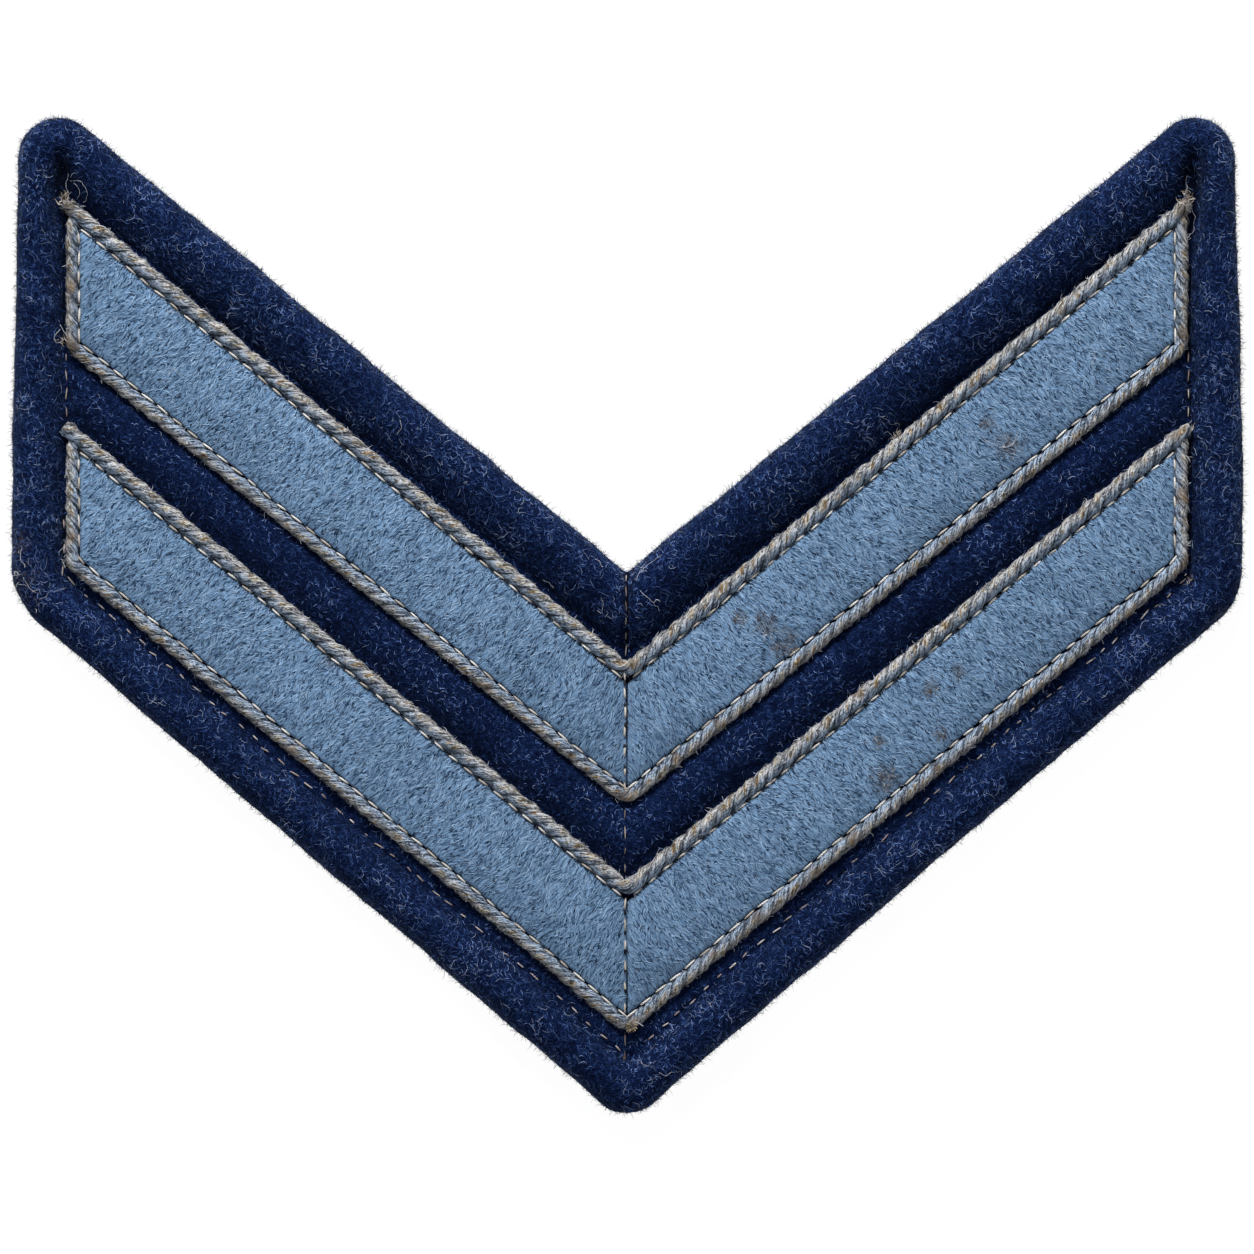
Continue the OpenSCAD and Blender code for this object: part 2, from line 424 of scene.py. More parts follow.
# %% [markdown]
# ### Wool fibres
# A fibre bends along an arc, sways from side to side, and rises at its far end. Its heading is a
# lay direction, turned by a smooth swirl and by chance, so the same tree makes tangled fuzz when
# the chance is large and a brushed nap when it is small.

# %% Tree of fibres
LOWEST = (-1.0, -1.0, 0.02 * MM)


def fibre_tree(segments):
    """Fibres on a surface, where its own attribute named hair sets how thickly."""
    plan = GrowingTree("fibres", {
        "Per area": 1.0, "Seed": 0, "Shortest": 1.0 * MM, "Longest": 2.0 * MM, "Width": 0.1 * MM,
        "Bend": 2.0, "Sway": 0.1, "Rise": 0.2, "Swirl": 1.0, "Spread": math.pi, "Roll": 0.6,
        "Material": None})
    given = plan.given
    sockets = {"Mesh": given["Geometry"], "Seed": given["Seed"]}
    sockets["Density"] = given["Per area"] * plan.recall("hair")
    scatter = plan.add("GeometryNodeDistributePointsOnFaces", {}, sockets)
    root = plan.here()
    up = scatter["Normal"]
    lay = plan.recall("lay")
    flat_lay = (lay - up * lay.dot(up)).unit()
    swirl = (plan.noise(root, 1 / (2.2 * MM), 1.0)["Fac"] - 0.5) * given["Swirl"]
    turned = swirl + plan.chance(-1.0, 1.0, 1) * given["Spread"]
    count = plan.add("GeometryNodeAttributeDomainSize", {"component": "POINTCLOUD"},
                     {"Geometry": scatter["Points"]})["Point Count"]
    points = plan.keep(
        scatter["Points"],
        t_root=root,
        t_up=up,
        t_heading=flat_lay * turned.cos() + up.cross(flat_lay) * turned.sin(),
        t_number=plan.number(),
        t_long=plan.chance(given["Shortest"], given["Longest"], 2),
        t_bend=plan.chance(-1.0, 1.0, 3) * given["Bend"],
        t_phase=plan.chance(0.0, 2 * math.pi, 4),
        t_rise=plan.chance(0.1, 1.0, 5) * given["Rise"],
        t_roll=plan.chance(-1.0, 1.0, 6) * given["Roll"],
        tone=plan.chance(0.0, 1.0, 7),
        t_grid=(count * 1.0).square_root().ceil())
    mesh = ribbons(plan, points, segments)

    along = plan.recall("t_along")
    long = plan.recall("t_long")
    up = plan.recall("t_up")
    heading = plan.recall("t_heading")
    bend = plan.recall("t_bend") + 0.05
    angle = bend * along
    forward = angle.sin() / bend
    aside = (1 - angle.cos()) / bend
    aside = aside + given["Sway"] * (plan.recall("t_phase") + along * 5.0).sin()
    height = plan.recall("t_rise") * along * along
    wide = across_ribbon(plan)
    shift = heading * (forward * long - wide * angle.sin())
    shift = shift + up.cross(heading) * (aside * long + wide * angle.cos())
    shift = shift + up * (height * long + wide * plan.recall("t_roll"))
    return plan.finish(plan.moved(mesh, (plan.recall("t_root") + shift).most(LOWEST)))


# %% [markdown]
# ### Twisted cord
# The cord is two plies laid round each other. Its tube follows the route, and two grooves wind
# round it: where the sine of the twist's phase is near zero, the surface is drawn in. The phase and
# the distance run are kept for the material.

# %% Tree of a twisted cord
LUMP_LONG = 1.4 * MM


def cord_shape(plan, phase, turning):
    """Share of the full radius at a phase of the twist, with the lumps of hand-spun yarn."""
    lumps = plan.noise(turning * (0.8, 0.8, 1 / LUMP_LONG), 1.0, 1.0)["Fac"].smooth(0.28, 0.72, 0.84, 1.05)
    return lumps * (1 - plan.given["Groove"] * (1 - abs(phase.sin())) ** 2)


def cord_tree():
    """A cord along a route of edges."""
    plan = GrowingTree("twisted cord", {
        "Radius": 1.0 * MM, "Turn": 5.0 * MM, "Groove": 0.3, "Taper": 1.0 * MM, "Step": 0.3 * MM,
        "Sides": 24, "Material": None})
    given = plan.given
    curve = plan.keep(
        plan.in_steps(plan.route(), given["Step"]),
        t_core=plan.here(),
        t_run=plan.add("GeometryNodeSplineParameter", {}, {})["Length"],
        t_way=plan.add("GeometryNodeInputTangent", {}, {})["Tangent"])
    run = plan.recall("t_run")
    left = plan.add("GeometryNodeSplineLength", {}, {})["Length"] - run
    curve = plan.keep(curve, t_end=run.least(left).smooth(0.0, given["Taper"], 0.55, 1.0))
    tube = plan.tube(curve, given["Sides"])
    core = plan.recall("t_core")
    spoke = plan.here() - core
    beside = plan.sum("CROSS_PRODUCT", UP, plan.recall("t_way"))
    angle = spoke.part("Z").arctan2(spoke.dot(beside))
    phase = angle + run * (2 * math.pi / given["Turn"])
    turning = plan.vector(phase.cos(), phase.sin(), run)
    tube = plan.keep(
        tube,
        twist=turning,
        round=plan.vector(angle.cos(), angle.sin(), 0.0),
        t_share=cord_shape(plan, phase, turning) * plan.recall("t_end"))
    return plan.finish(plan.smoothed(plan.moved(tube, core + spoke * plan.recall("t_share"))))


# %% [markdown]
# ### Fine threads wound round the cord
# The plies are spun from grey and blue yarn, and broken strands of it lie on the surface. Each is
# a ribbon whose vertices look up the route at their own distance along it, so a strand
# follows every bend of the cord. Yarn is spun one way and laid up the other, so its fibres undo
# part of the cord's twist and lie at a smaller angle than the plies do.

# %% Tree of wound threads
CLEAR_OF_CORD = 0.012 * MM


def wound_tree(segments):
    """Threads that wind with a cord along a route of edges."""
    plan = GrowingTree("wound threads", {
        "Per length": 1.0, "Seed": 0, "Radius": 1.0 * MM, "Turn": 5.0 * MM, "Groove": 0.3,
        "Shortest": 2.0 * MM, "Longest": 5.0 * MM, "Width": 0.1 * MM, "Undone": 0.8,
        "Lift": 0.04 * MM, "Material": None})
    given = plan.given
    curve = plan.route()
    length = plan.add("GeometryNodeCurveLength", {}, {"Curve": curve})["Length"]
    count = (length * given["Per length"]).floor()
    line = plan.add("GeometryNodeMeshLine", {}, {"Count": count, "Offset": (0.0, 0.0, 0.0)})["Mesh"]
    line = plan.keep(
        line,
        t_root=plan.here(),
        t_long=plan.chance(given["Shortest"], given["Longest"], 0),
        t_start=plan.chance(-0.01, 0.99, 1) * length,
        t_phase=plan.chance(0.0, 2 * math.pi, 2),
        t_undone=plan.chance(0.0, 1.0, 3) * given["Undone"],
        t_lift=plan.chance(0.2, 1.0, 4) * given["Lift"],
        tone=plan.chance(0.0, 1.0, 5),
        t_number=plan.number(),
        t_grid=count.square_root().ceil())
    mesh = ribbons(plan, line, segments)

    along = plan.recall("t_along")
    start = plan.recall("t_start")
    run = (start + along * plan.recall("t_long")).most(0.0).least(length)
    core = plan.add("GeometryNodeSampleCurve", {"mode": "LENGTH"}, {"Curves": curve, "Length": run})
    way = core["Tangent"]
    undone = plan.recall("t_undone")
    twist = 2 * math.pi / given["Turn"]
    phase = plan.recall("t_phase") + undone * twist * (run - start)
    angle = phase - run * twist
    turning = plan.vector(phase.cos(), phase.sin(), run)
    mesh = plan.keep(mesh, round=plan.vector(angle.cos(), angle.sin(), 0.0), twist=turning)
    spoke = plan.sum("CROSS_PRODUCT", UP, way) * angle.cos() + plan.vector(*UP) * angle.sin()
    radius = given["Radius"] * cord_shape(plan, phase, turning)
    pitch = radius * twist * (1 - undone)
    arch = along * (1 - along) * 4
    place = core["Position"] + spoke * (radius + plan.recall("t_lift") * arch + CLEAR_OF_CORD)
    place = place + (way * pitch - spoke.cross(way)).unit() * across_ribbon(plan)
    return plan.finish(plan.moved(mesh, place))


# %% [markdown]
# ### Rows of stitches
# A running stitch shows as a short bar of thread that dives into the cloth at both ends. The tree
# walks along a route in steps of one pitch and lays a stretched ball at each step, with its ends
# pushed down. The same tree, half a pitch on, with short flat balls, makes the needle holes, and
# their dark colour is painted shade.

# %% Tree of a stitch row
ROUTE_STEP = 0.3 * MM
PAST_ANY_END = 10.0


def stitch_tree():
    """Stitches at equal steps along routes of edges."""
    plan = GrowingTree("stitch row", {
        "Pitch": 2.1 * MM, "Start": 0.0, "Length": 1.5 * MM, "Width": 0.33 * MM, "Height": 0.3 * MM,
        "Dive": 0.3 * MM, "Uneven": 0.15, "Slip": 0.1 * MM, "Aim": 0.1, "Kept": 1.0, "Seed": 0,
        "Material": None})
    given = plan.given
    sockets = {"Curve": plan.in_steps(plan.route(), ROUTE_STEP)}
    sockets.update({"Start_001": given["Start"], "End_001": PAST_ANY_END})
    curve = plan.add("GeometryNodeTrimCurve", {"mode": "LENGTH"}, sockets)["Curve"]
    sockets = {"Curve": curve, "Length": given["Pitch"]}
    walk = plan.add("GeometryNodeCurveToPoints", {"mode": "LENGTH"}, sockets)
    uneven = given["Uneven"]
    points = plan.keep(
        walk["Points"],
        t_root=plan.here(),
        t_way=walk["Tangent"],
        t_aim=plan.chance(-1.0, 1.0, 0) * given["Aim"],
        t_size=plan.chance(1 - uneven, 1 + uneven, 1),
        t_slip=plan.chance(-1.0, 1.0, 2) * given["Slip"],
        t_step=plan.chance(-1.0, 1.0, 3) * given["Slip"],
        tone=plan.chance(0.0, 1.0, 4))
    ball = plan.add("GeometryNodeMeshUVSphere", {}, {"Segments": 6, "Rings": 7, "Radius": 0.5})["Mesh"]
    sockets = {"Geometry": ball, "Rotation": (0.0, math.pi / 2, 0.0)}
    ball = plan.add("GeometryNodeTransform", {}, sockets)["Geometry"]
    chosen = plan.sum("LESS_THAN", plan.chance(0.0, 1.0, 5), given["Kept"])
    mesh = plan.copies(points, ball, Selection=chosen)
    root = plan.recall("t_root")
    mesh = plan.keep(mesh, thread=plan.here() - root)

    here = plan.recall("thread")
    way = plan.recall("t_way")
    up = plan.vector(*UP)
    aim = plan.recall("t_aim")
    ahead = way * aim.cos() + up.cross(way) * aim.sin()
    forward = here.part("X") * given["Length"] * plan.recall("t_size") + plan.recall("t_step")
    dive = here.part("X") * here.part("X") * given["Dive"] * 4
    place = root + ahead * forward
    place = place + up.cross(ahead) * (here.part("Y") * given["Width"] + plan.recall("t_slip") * 0.5)
    place = place + up * (here.part("Z") * given["Height"] - dive)
    return plan.finish(plan.smoothed(plan.moved(mesh, place)))


# %% Tree of a loose thread
def thread_tree():
    """Thin round threads along routes of edges, with their bends smoothed."""
    plan = GrowingTree("loose thread", {
        "Radius": 0.05 * MM, "Step": 0.15 * MM, "Seed": 0, "Material": None})
    sockets = {"Curve": plan.route()}
    curve = plan.add("GeometryNodeCurveSplineType", {"spline_type": "CATMULL_ROM"}, sockets)["Curve"]
    curve = plan.in_steps(curve, plan.given["Step"])
    here = plan.here()
    wobble = (plan.noise(here, 1 / (0.7 * MM), 1.0)["Color"] - 0.5) * (0.5 * MM, 0.5 * MM, 0.0)
    curve = plan.keep(plan.moved(curve, here + wobble), tone=plan.chance(0.2, 1.0, 0))
    return plan.finish(plan.smoothed(plan.tube(curve, 5)))


# %% Build the trees once
short_fibres = fibre_tree(2)
curls = fibre_tree(4)
twisted_cord = cord_tree()
wound_threads = wound_tree(4)
stitch_row = stitch_tree()
thread = thread_tree()
print("node trees:", len(bpy.data.node_groups))

# %% [markdown]
# ## Materials
# Felt gets its look from hairs that curl over each other at every size. In the material they are
# the contour lines of soft noise: the closer the noise is to its middle value, the nearer the
# point is to a line, and a high power keeps the lines thin. The real ribbons then lie on top.

# %% Helpers for materials
class Paint(Plan):
    """A material with one Principled shader. What is the same all over is set on its sockets."""

    def __init__(self, name, roughness, sheen, specular, tint=(1.0, 1.0, 1.0)):
        self.material = bpy.data.materials.new(name)
        self.material.use_nodes = True
        super().__init__(self.material.node_tree)
        self.tree.nodes.clear()
        made = self.add("ShaderNodeBsdfPrincipled", {}, {
            "Roughness": roughness, "Sheen Weight": sheen, "Sheen Roughness": 0.4,
            "Specular IOR Level": specular, "Sheen Tint": tint})
        self.shader = made.node
        self.add("ShaderNodeOutputMaterial", {}, {"Surface": made["BSDF"]})

    def read(self, name, output="Fac"):
        """An attribute of the mesh: one number as Fac, or three as Vector."""
        return self.add("ShaderNodeAttribute", {"attribute_name": name}, {})[output]

    def in_mm(self):
        """The place of each point, in millimetres."""
        return self.add("ShaderNodeTexCoord", {}, {})["Object"] * (1 / MM)

    def hair_lines(self, place, scale, thin, offset):
        """Thin curling lines: the contours of soft noise."""
        field = self.noise(place + (offset, offset * 0.7, -offset), scale, 1.0, 0.5, 0.4)["Fac"]
        return (1 - abs(field * 2 - 1)) ** thin

    def spots(self, place, rows, ragged):
        """A mask that is 1 around some places: rows of x, y and radius, all in millimetres."""
        wander = (self.noise(place, 0.8, 4.0, 0.65)["Fac"] - 0.5) * ragged
        found = wander * 0.0
        for x, y, radius in rows:
            away = ((place - (x, y, 0.0)) * (1 / radius, 1 / radius, 0.0)).length()
            found = found.most((away + wander).smooth(1.1, 0.3))
        return found

    def coloured(self, colour):
        """Feeds the base colour, and returns the material."""
        self.feed(self.shader.inputs["Base Color"], colour)
        return self.material

    def raise_bumps(self, height, depth, strength):
        """Feeds a height to the shader's normal."""
        sockets = {"Height": height, "Distance": depth, "Strength": strength}
        self.feed(self.shader.inputs["Normal"], self.add("ShaderNodeBump", {}, sockets)["Normal"])


# %% Navy felt
DUSTY = [(-66.3, 3.9, 2.6), (-66.9, 8.0, 1.8), (65.8, -0.5, 1.8)]
DUST_GREY = (0.09, 0.075, 0.06)
SHADE = (0.0008, 0.0015, 0.004)


def navy_felt(name, deep, middle, bright, offset):
    """Matted navy wool with paler hairs, a little dust, and shade where it is sewn down."""
    plan = Paint(name, roughness=0.95, sheen=0.12, specular=0.04, tint=(0.3, 0.45, 0.8))
    place = plan.in_mm()
    curled = place + (plan.noise(place, 0.45)["Color"] - 0.5) * 2.0
    coarse = plan.hair_lines(curled, 0.9, 9.0, offset)
    fine = plan.hair_lines(curled, 1.7, 7.0, offset + 40)
    finest = plan.hair_lines(curled, 3.0, 5.0, offset + 80)
    patches = plan.noise(place, 0.16, 3.0)["Fac"]
    matted = coarse.most(fine.most(finest * 0.75))
    shade = plan.mix(matted * (patches * 0.9 + 0.35), deep, middle)
    lit = coarse * fine.smooth(0.2, 0.8)
    colour = plan.mix(lit.smooth(0.2, 0.9) * 0.6, shade, bright)
    dust = plan.spots(place, DUSTY, 1.6) * fine.smooth(0.2, 0.7)
    colour = plan.mix(dust * 0.5, colour, DUST_GREY)
    plan.raise_bumps(coarse * 0.5 + fine * 0.35 + finest * 0.2, 0.22 * MM, 0.9)
    # Painted shade: the crease attribute darkens the colour towards SHADE where the felt is sewn down or
    # folded, and along the cords.
    return plan.coloured(plan.mix(plan.read("crease") * 0.85, colour, SHADE))


border_felt = navy_felt(
    "border felt", (0.0007, 0.0022, 0.012), (0.005, 0.0145, 0.061), (0.024, 0.05, 0.15), 0)
ground_felt = navy_felt(
    "ground felt", (0.0008, 0.0025, 0.014), (0.0055, 0.016, 0.066), (0.025, 0.05, 0.15), 17)


# %% [markdown]
# The pale felt is brushed, so its hairs lie side by side. The mesh carries an attribute named nap:
# how far along the nap a point lies, and which hair it is on. Noise drawn out along the first and
# packed close along the second gives streaks, and a second such noise paints shade where tufts part.
# Wear has left a few faint brown stains, mostly on the right arms.

# %% Pale blue felt
STAINS = [(15.2, -0.8, 1.7), (17.2, -3.0, 2.0), (12.4, -0.3, 1.2), (28.2, -17.8, 1.9), (30.2, -20.8, 1.7),
          (33.4, -8.0, 1.3), (36.4, -6.2, 1.0), (41.8, 18.7, 1.8), (39.6, 21.2, 1.1), (-32.7, -4.9, 1.3),
          (27.6, -13.8, 1.0), (34.6, -13.0, 0.9)]


def brushed_felt(name):
    """Pale blue wool, brushed aslant, with painted shade where its tufts part, and a few stains."""
    plan = Paint(name, roughness=0.9, sheen=0.08, specular=0.12)
    place = plan.in_mm()
    lane = plan.read("nap", "Vector") + (plan.noise(place, 0.5)["Color"] - 0.5) * (2.2, 1.4, 0.0)
    strands = plan.noise(lane * (0.6, 2.8, 1.0), 1.0, 3.0, 0.65)["Fac"]
    hairs = plan.hair_lines(lane * (0.5, 2.6, 1.0), 1.0, 6.0, 5)
    thin_hairs = plan.hair_lines(lane * (0.9, 4.4, 1.0), 1.0, 4.0, 60)
    # Painted shade: dark spots where the tufts part.
    gap_shade = plan.noise(lane * (1.4, 3.4, 1.0) + (31, 7, 0), 1.0, 1.0)["Fac"].smooth(0.57, 0.66)
    body = plan.mix(strands.smooth(0.34, 0.66), (0.045, 0.105, 0.2), (0.165, 0.29, 0.48))
    body = plan.mix(hairs * 0.5 + thin_hairs * 0.3, body, (0.27, 0.42, 0.62))
    body = plan.mix(gap_shade * 0.9, body, (0.01, 0.025, 0.06))
    stained = plan.spots(place, STAINS, 2.2) * (strands.smooth(0.35, 0.6) * 0.5 + 0.1)
    body = plan.mix(stained, body, (0.1, 0.095, 0.1))
    patches = plan.noise(place, 0.12, 3.0)["Fac"].smooth(0.25, 0.75, 0.9, 1.1)
    plan.raise_bumps(strands * 0.6 + hairs * 0.5 + thin_hairs * 0.25 - gap_shade * 0.6, 0.25 * MM, 0.8)
    return plan.coloured(body * patches)


pale_felt = brushed_felt("pale blue felt")


# %% [markdown]
# The cord is spun from grey and blue yarn. It is palest on the side towards the navy felt, where it
# has worn, and bluest towards the pale felt. Each ply shows an ochre fleck near its crest, ringed by
# cream that is partly the yarn's and partly painted highlight, and painted shade where it dips under
# the next one. A few places are soiled brown, and the upper stripe's end cords get painted shade.

# %% Cord
SOILED = [(-61.3, 29.8, 1.5), (0.6, -44.9, 1.0), (0.8, -5.4, 0.9), (-61.4, 44.6, 1.2), (61.3, 44.6, 1.5),
          (61.4, 5.2, 1.4), (-61.0, 8.6, 1.0), (61.2, 31.0, 1.2), (-61.2, 36.4, 1.2), (61.0, 13.2, 1.3),
          (0.0, -19.8, 1.1), (24.8, -24.4, 1.2), (20.6, -28.1, 1.0), (14.3, -33.1, 1.0), (25.3, -8.4, 0.9),
          (10.2, -11.9, 0.9), (-15.4, -7.8, 0.9), (5.3, -15.7, 0.8), (60.2, 19.7, 1.0), (9.4, -37.3, 0.8),
          (-36.7, -14.8, 0.8), (47.7, 33.4, 0.8), (55.2, 0.3, 0.8), (34.1, -16.8, 0.8)]
CREAM_AND_HIGHLIGHT = (0.62, 0.56, 0.45)
OCHRE = (0.25, 0.165, 0.085)
SOIL = (0.2, 0.14, 0.085)
GROOVE_SHADE = (0.014, 0.013, 0.014)


def cord_paint(name, loose):
    """Grey towards the navy and blue-grey towards the pale felt, with ochre flecks."""
    plan = Paint(name, roughness=0.85, sheen=0.05, specular=0.12)
    twist = plan.read("twist", "Vector")
    turned = plan.read("round", "Vector")
    place = plan.in_mm()
    run = twist.part("Z") * (1 / MM)
    crest = abs(twist.part("Y"))
    lane = plan.vector(twist.part("X") * 1.6, twist.part("Y") * 1.6, run * 0.45)
    streaks = plan.noise(lane, 2.6, 3.0, 0.7)["Fac"]
    skin = plan.vector(turned.part("X"), turned.part("Y"), run * 0.8)
    grain = plan.noise(skin + (3, 8, 0), 3.0, 3.0, 0.7)["Fac"]
    outward = turned.part("X") + (plan.noise(place, 0.9)["Fac"] - 0.5) * 0.8
    side = outward.smooth(-0.4, 0.6)
    if loose:
        bright = (plan.read("tone") * 0.8 + grain * 0.2).smooth(0.2, 0.8)
    else:
        bright = (streaks * 0.5 + grain * 0.5).smooth(0.42, 0.58)
    colour = plan.mix(bright, plan.mix(side, (0.045, 0.065, 0.1), (0.055, 0.055, 0.06)),
                      plan.mix(side, (0.42, 0.51, 0.64), (0.57, 0.57, 0.58)))
    chosen = plan.noise(place + (19, 3, 5), 0.5, 2.0, 0.6)["Fac"].smooth(0.38, 0.56)
    upper = (1 - abs(outward - 0.3).smooth(0.25, 0.8)) * crest.smooth(0.35, 0.85)
    fleck_lane = plan.vector(twist.part("X"), twist.part("Y"), run * 0.6)
    flecks = plan.noise(fleck_lane + (7, 1, 2), 1.6)["Fac"]
    shine = bright * 0.9 + 0.25
    # The cream ring round each fleck sits on the ply crest: partly the yarn's cream, partly painted
    # highlight.
    cream_and_highlight = upper * (chosen * 0.75 + 0.1) * flecks.smooth(0.42, 0.52)
    colour = plan.mix(cream_and_highlight, colour, plan.vector(*CREAM_AND_HIGHLIGHT) * shine)
    colour = plan.mix(upper * chosen * flecks.smooth(0.51, 0.6), colour, plan.vector(*OCHRE) * shine)
    colour = plan.mix(plan.spots(place, SOILED, 1.3) * 0.6, colour, SOIL)
    # Painted shade in the grooves where a ply dips under the next, stronger towards the pale felt, with some
    # dark grain.
    groove_shade = grain.smooth(0.4, 0.27) * 0.65 + crest.smooth(0.34, 0.04) * (0.85 - side * 0.4)
    colour = plan.mix(groove_shade, colour, GROOVE_SHADE)
    # Painted shade: the upper stripe's end cords, beside the border, are darkened by up to 18%.
    ends = abs(place.part("X")).smooth(60.0, 60.6) * place.part("Y").smooth(24.0, 30.0)
    plan.raise_bumps(streaks * 0.6 + grain, 0.16 * MM, 0.9)
    return plan.coloured(colour * (1 - ends * 0.18))


cord_yarn = cord_paint("cord yarn", loose=False)
yarn_hair = cord_paint("yarn strand", loose=True)


# %% Threads and fibres
def toned(name, stops, roughness, specular=0.1, drift=0.0, stained=0.0):
    """A thread or fibre colour picked by the attribute named tone, with a little noise."""
    plan = Paint(name, roughness, 0.0, specular)
    place = plan.in_mm()
    mottle = (plan.noise(place, 1.25)["Fac"] - 0.5) * 0.3
    patches = (plan.noise(place, 0.22, 3.0, 0.6)["Fac"] - 0.5) * drift
    colour = plan.ramp(plan.read("tone") + mottle + patches, stops)
    if stained:
        colour = plan.mix(plan.spots(place, STAINS, 2.6) * stained, colour, (0.13, 0.125, 0.12))
    return plan.coloured(colour)


def stitch_paint(name, stops):
    """Sewing thread: its own tone, with the fine slanting lines of a two-ply twist as painted light and
    shade, and painted shade at its ends.
    """
    plan = Paint(name, roughness=0.6, sheen=0.1, specular=0.4)
    thread = plan.read("thread", "Vector")
    lines = (thread.part("X") * 38 + thread.part("Y") * 7).sin()
    ends = abs(thread.part("X")).smooth(0.3, 0.5)
    plan.raise_bumps(lines, 0.04 * MM, 0.7)
    # Painted light and shade: the twist's lines lighten and darken the thread a little, and its ends are
    # darkened where they dive into the cloth.
    return plan.coloured(plan.ramp(plan.read("tone") * 0.5 + lines * 0.1 + 0.35 - ends * 0.4, stops))


# The two top stops make a few hairs far brighter than the rest: painted glints.
navy_hair = toned("navy hair", [
    (0.0, (0.0006, 0.0018, 0.01)), (0.38, (0.0026, 0.008, 0.036)), (0.7, (0.012, 0.034, 0.13)),
    (0.9, (0.05, 0.1, 0.28)), (1.0, (0.15, 0.23, 0.47))], 0.9, 0.04, 1.3)
navy_curl = toned("navy curl", [
    (0.0, (0.006, 0.02, 0.08)), (0.5, (0.024, 0.056, 0.17)), (0.85, (0.08, 0.13, 0.28)),
    (1.0, (0.3, 0.35, 0.48))], 0.8, 0.1, 0.9)
halo_hair = toned("edge hair", [
    (0.0, (0.006, 0.012, 0.035)), (0.6, (0.04, 0.05, 0.085)), (1.0, (0.2, 0.2, 0.23))], 0.9, 0.0)
pale_hair = toned("pale hair", [
    (0.0, (0.008, 0.02, 0.05)), (0.22, (0.035, 0.08, 0.165)), (0.5, (0.15, 0.268, 0.445)),
    (1.0, (0.4, 0.56, 0.76))], 0.85, 0.1, 0.3, stained=0.35)
# Painted shade: a near-black colour for ribbons that lie where the nap's tufts part.
pit_shade = toned("gap in the nap", [
    (0.0, (0.004, 0.012, 0.03)), (1.0, (0.03, 0.065, 0.13))], 0.95, 0.0)
tan_hair = toned("tan thread", [
    (0.0, (0.05, 0.035, 0.025)), (0.5, (0.3, 0.235, 0.18)), (1.0, (0.82, 0.76, 0.69))], 0.8)
ochre_hair = toned("ochre thread", [
    (0.0, (0.02, 0.014, 0.01)), (0.5, (0.17, 0.12, 0.055)), (1.0, (0.5, 0.42, 0.28))], 0.8)
stain_hair = toned("stained hair", [
    (0.0, (0.02, 0.02, 0.025)), (0.5, (0.09, 0.07, 0.06)), (0.85, (0.22, 0.18, 0.15)),
    (1.0, (0.5, 0.48, 0.45))], 0.9)
grey_hair = toned("pale thread", [(0.0, (0.2, 0.21, 0.27)), (1.0, (0.84, 0.86, 0.92))], 0.8)
cream_thread = stitch_paint("cream thread", [
    (0.0, (0.09, 0.065, 0.05)), (0.4, (0.44, 0.39, 0.33)), (1.0, (0.92, 0.89, 0.85))])
rosy_thread = stitch_paint("rosy thread", [
    (0.0, (0.08, 0.055, 0.055)), (0.45, (0.36, 0.28, 0.26)), (1.0, (0.9, 0.83, 0.79))])
brown_thread = stitch_paint("brown thread", [
    (0.0, (0.025, 0.015, 0.015)), (0.5, (0.17, 0.12, 0.1)), (1.0, (0.75, 0.68, 0.6))])
# Painted shade: a near-black colour for the balls that sit in the needle holes.
needle_hole_shade = toned("needle hole", [
    (0.0, (0.008, 0.009, 0.014)), (1.0, (0.035, 0.04, 0.05))], 1.0, 0.0)
print("materials:", len(bpy.data.materials))

# %% [markdown]
# ## Meshes of the cloth
# The border and the stripes are long shapes with one section, so each is a loft: a row of rings,
# joined by faces. Handmade cloth is never quite even, so smooth noise then moves each vertex a
# little along its normal.

# %% Helpers for meshes
def new_mesh(name, vertices, faces):
    """A mesh whose faces point outwards."""
    mesh = bpy.data.meshes.new(name)
    mesh.from_pydata([tuple(v) for v in vertices], [], [tuple(f) for f in faces])
    work = bmesh.new()
    work.from_mesh(mesh)
    bmesh.ops.recalc_face_normals(work, faces=work.faces)
    work.to_mesh(mesh)
    work.free()
    return mesh


def ring_faces(rings, size, closed):
    """Faces between rings of points that follow each other."""
    faces = []
    for i in range(rings if closed else rings - 1):
        first = i * size
        second = (i + 1) % rings * size
        for j in range(size):
            k = (j + 1) % size
            faces.append((first + j, first + k, second + k, second + j))
    return faces


def roughen(mesh, layers, share):
    """Moves vertices along their normals by noise: rows of grain size and height.

    Share gives how much of it there is at each place, from 0 to 1."""
    shifts = []
    for vertex in mesh.vertices:
        height = sum(tall * noise.noise(vertex.co / grain) for grain, tall in layers)
        shifts.append(vertex.normal * height * share(vertex.co))
    for vertex, shift in zip(mesh.vertices, shifts):
        vertex.co += shift
    mesh.update()


def mark(mesh, **values):
    """Stores rows of numbers or of vectors, one for each vertex, under their names."""
    for name, rows in values.items():
        rows = np.asarray(rows, dtype=np.float32)
        kind, field = ("FLOAT_VECTOR", "vector") if rows.ndim == 2 else ("FLOAT", "value")
        mesh.attributes.new(name, kind, "POINT").data.foreach_set(field, rows.ravel())


def places(mesh):
    """The vertices of a mesh as rows of x, y and z."""
    found = np.empty(len(mesh.vertices) * 3, np.float32)
    mesh.vertices.foreach_get("co", found)
    return found.reshape(-1, 3)


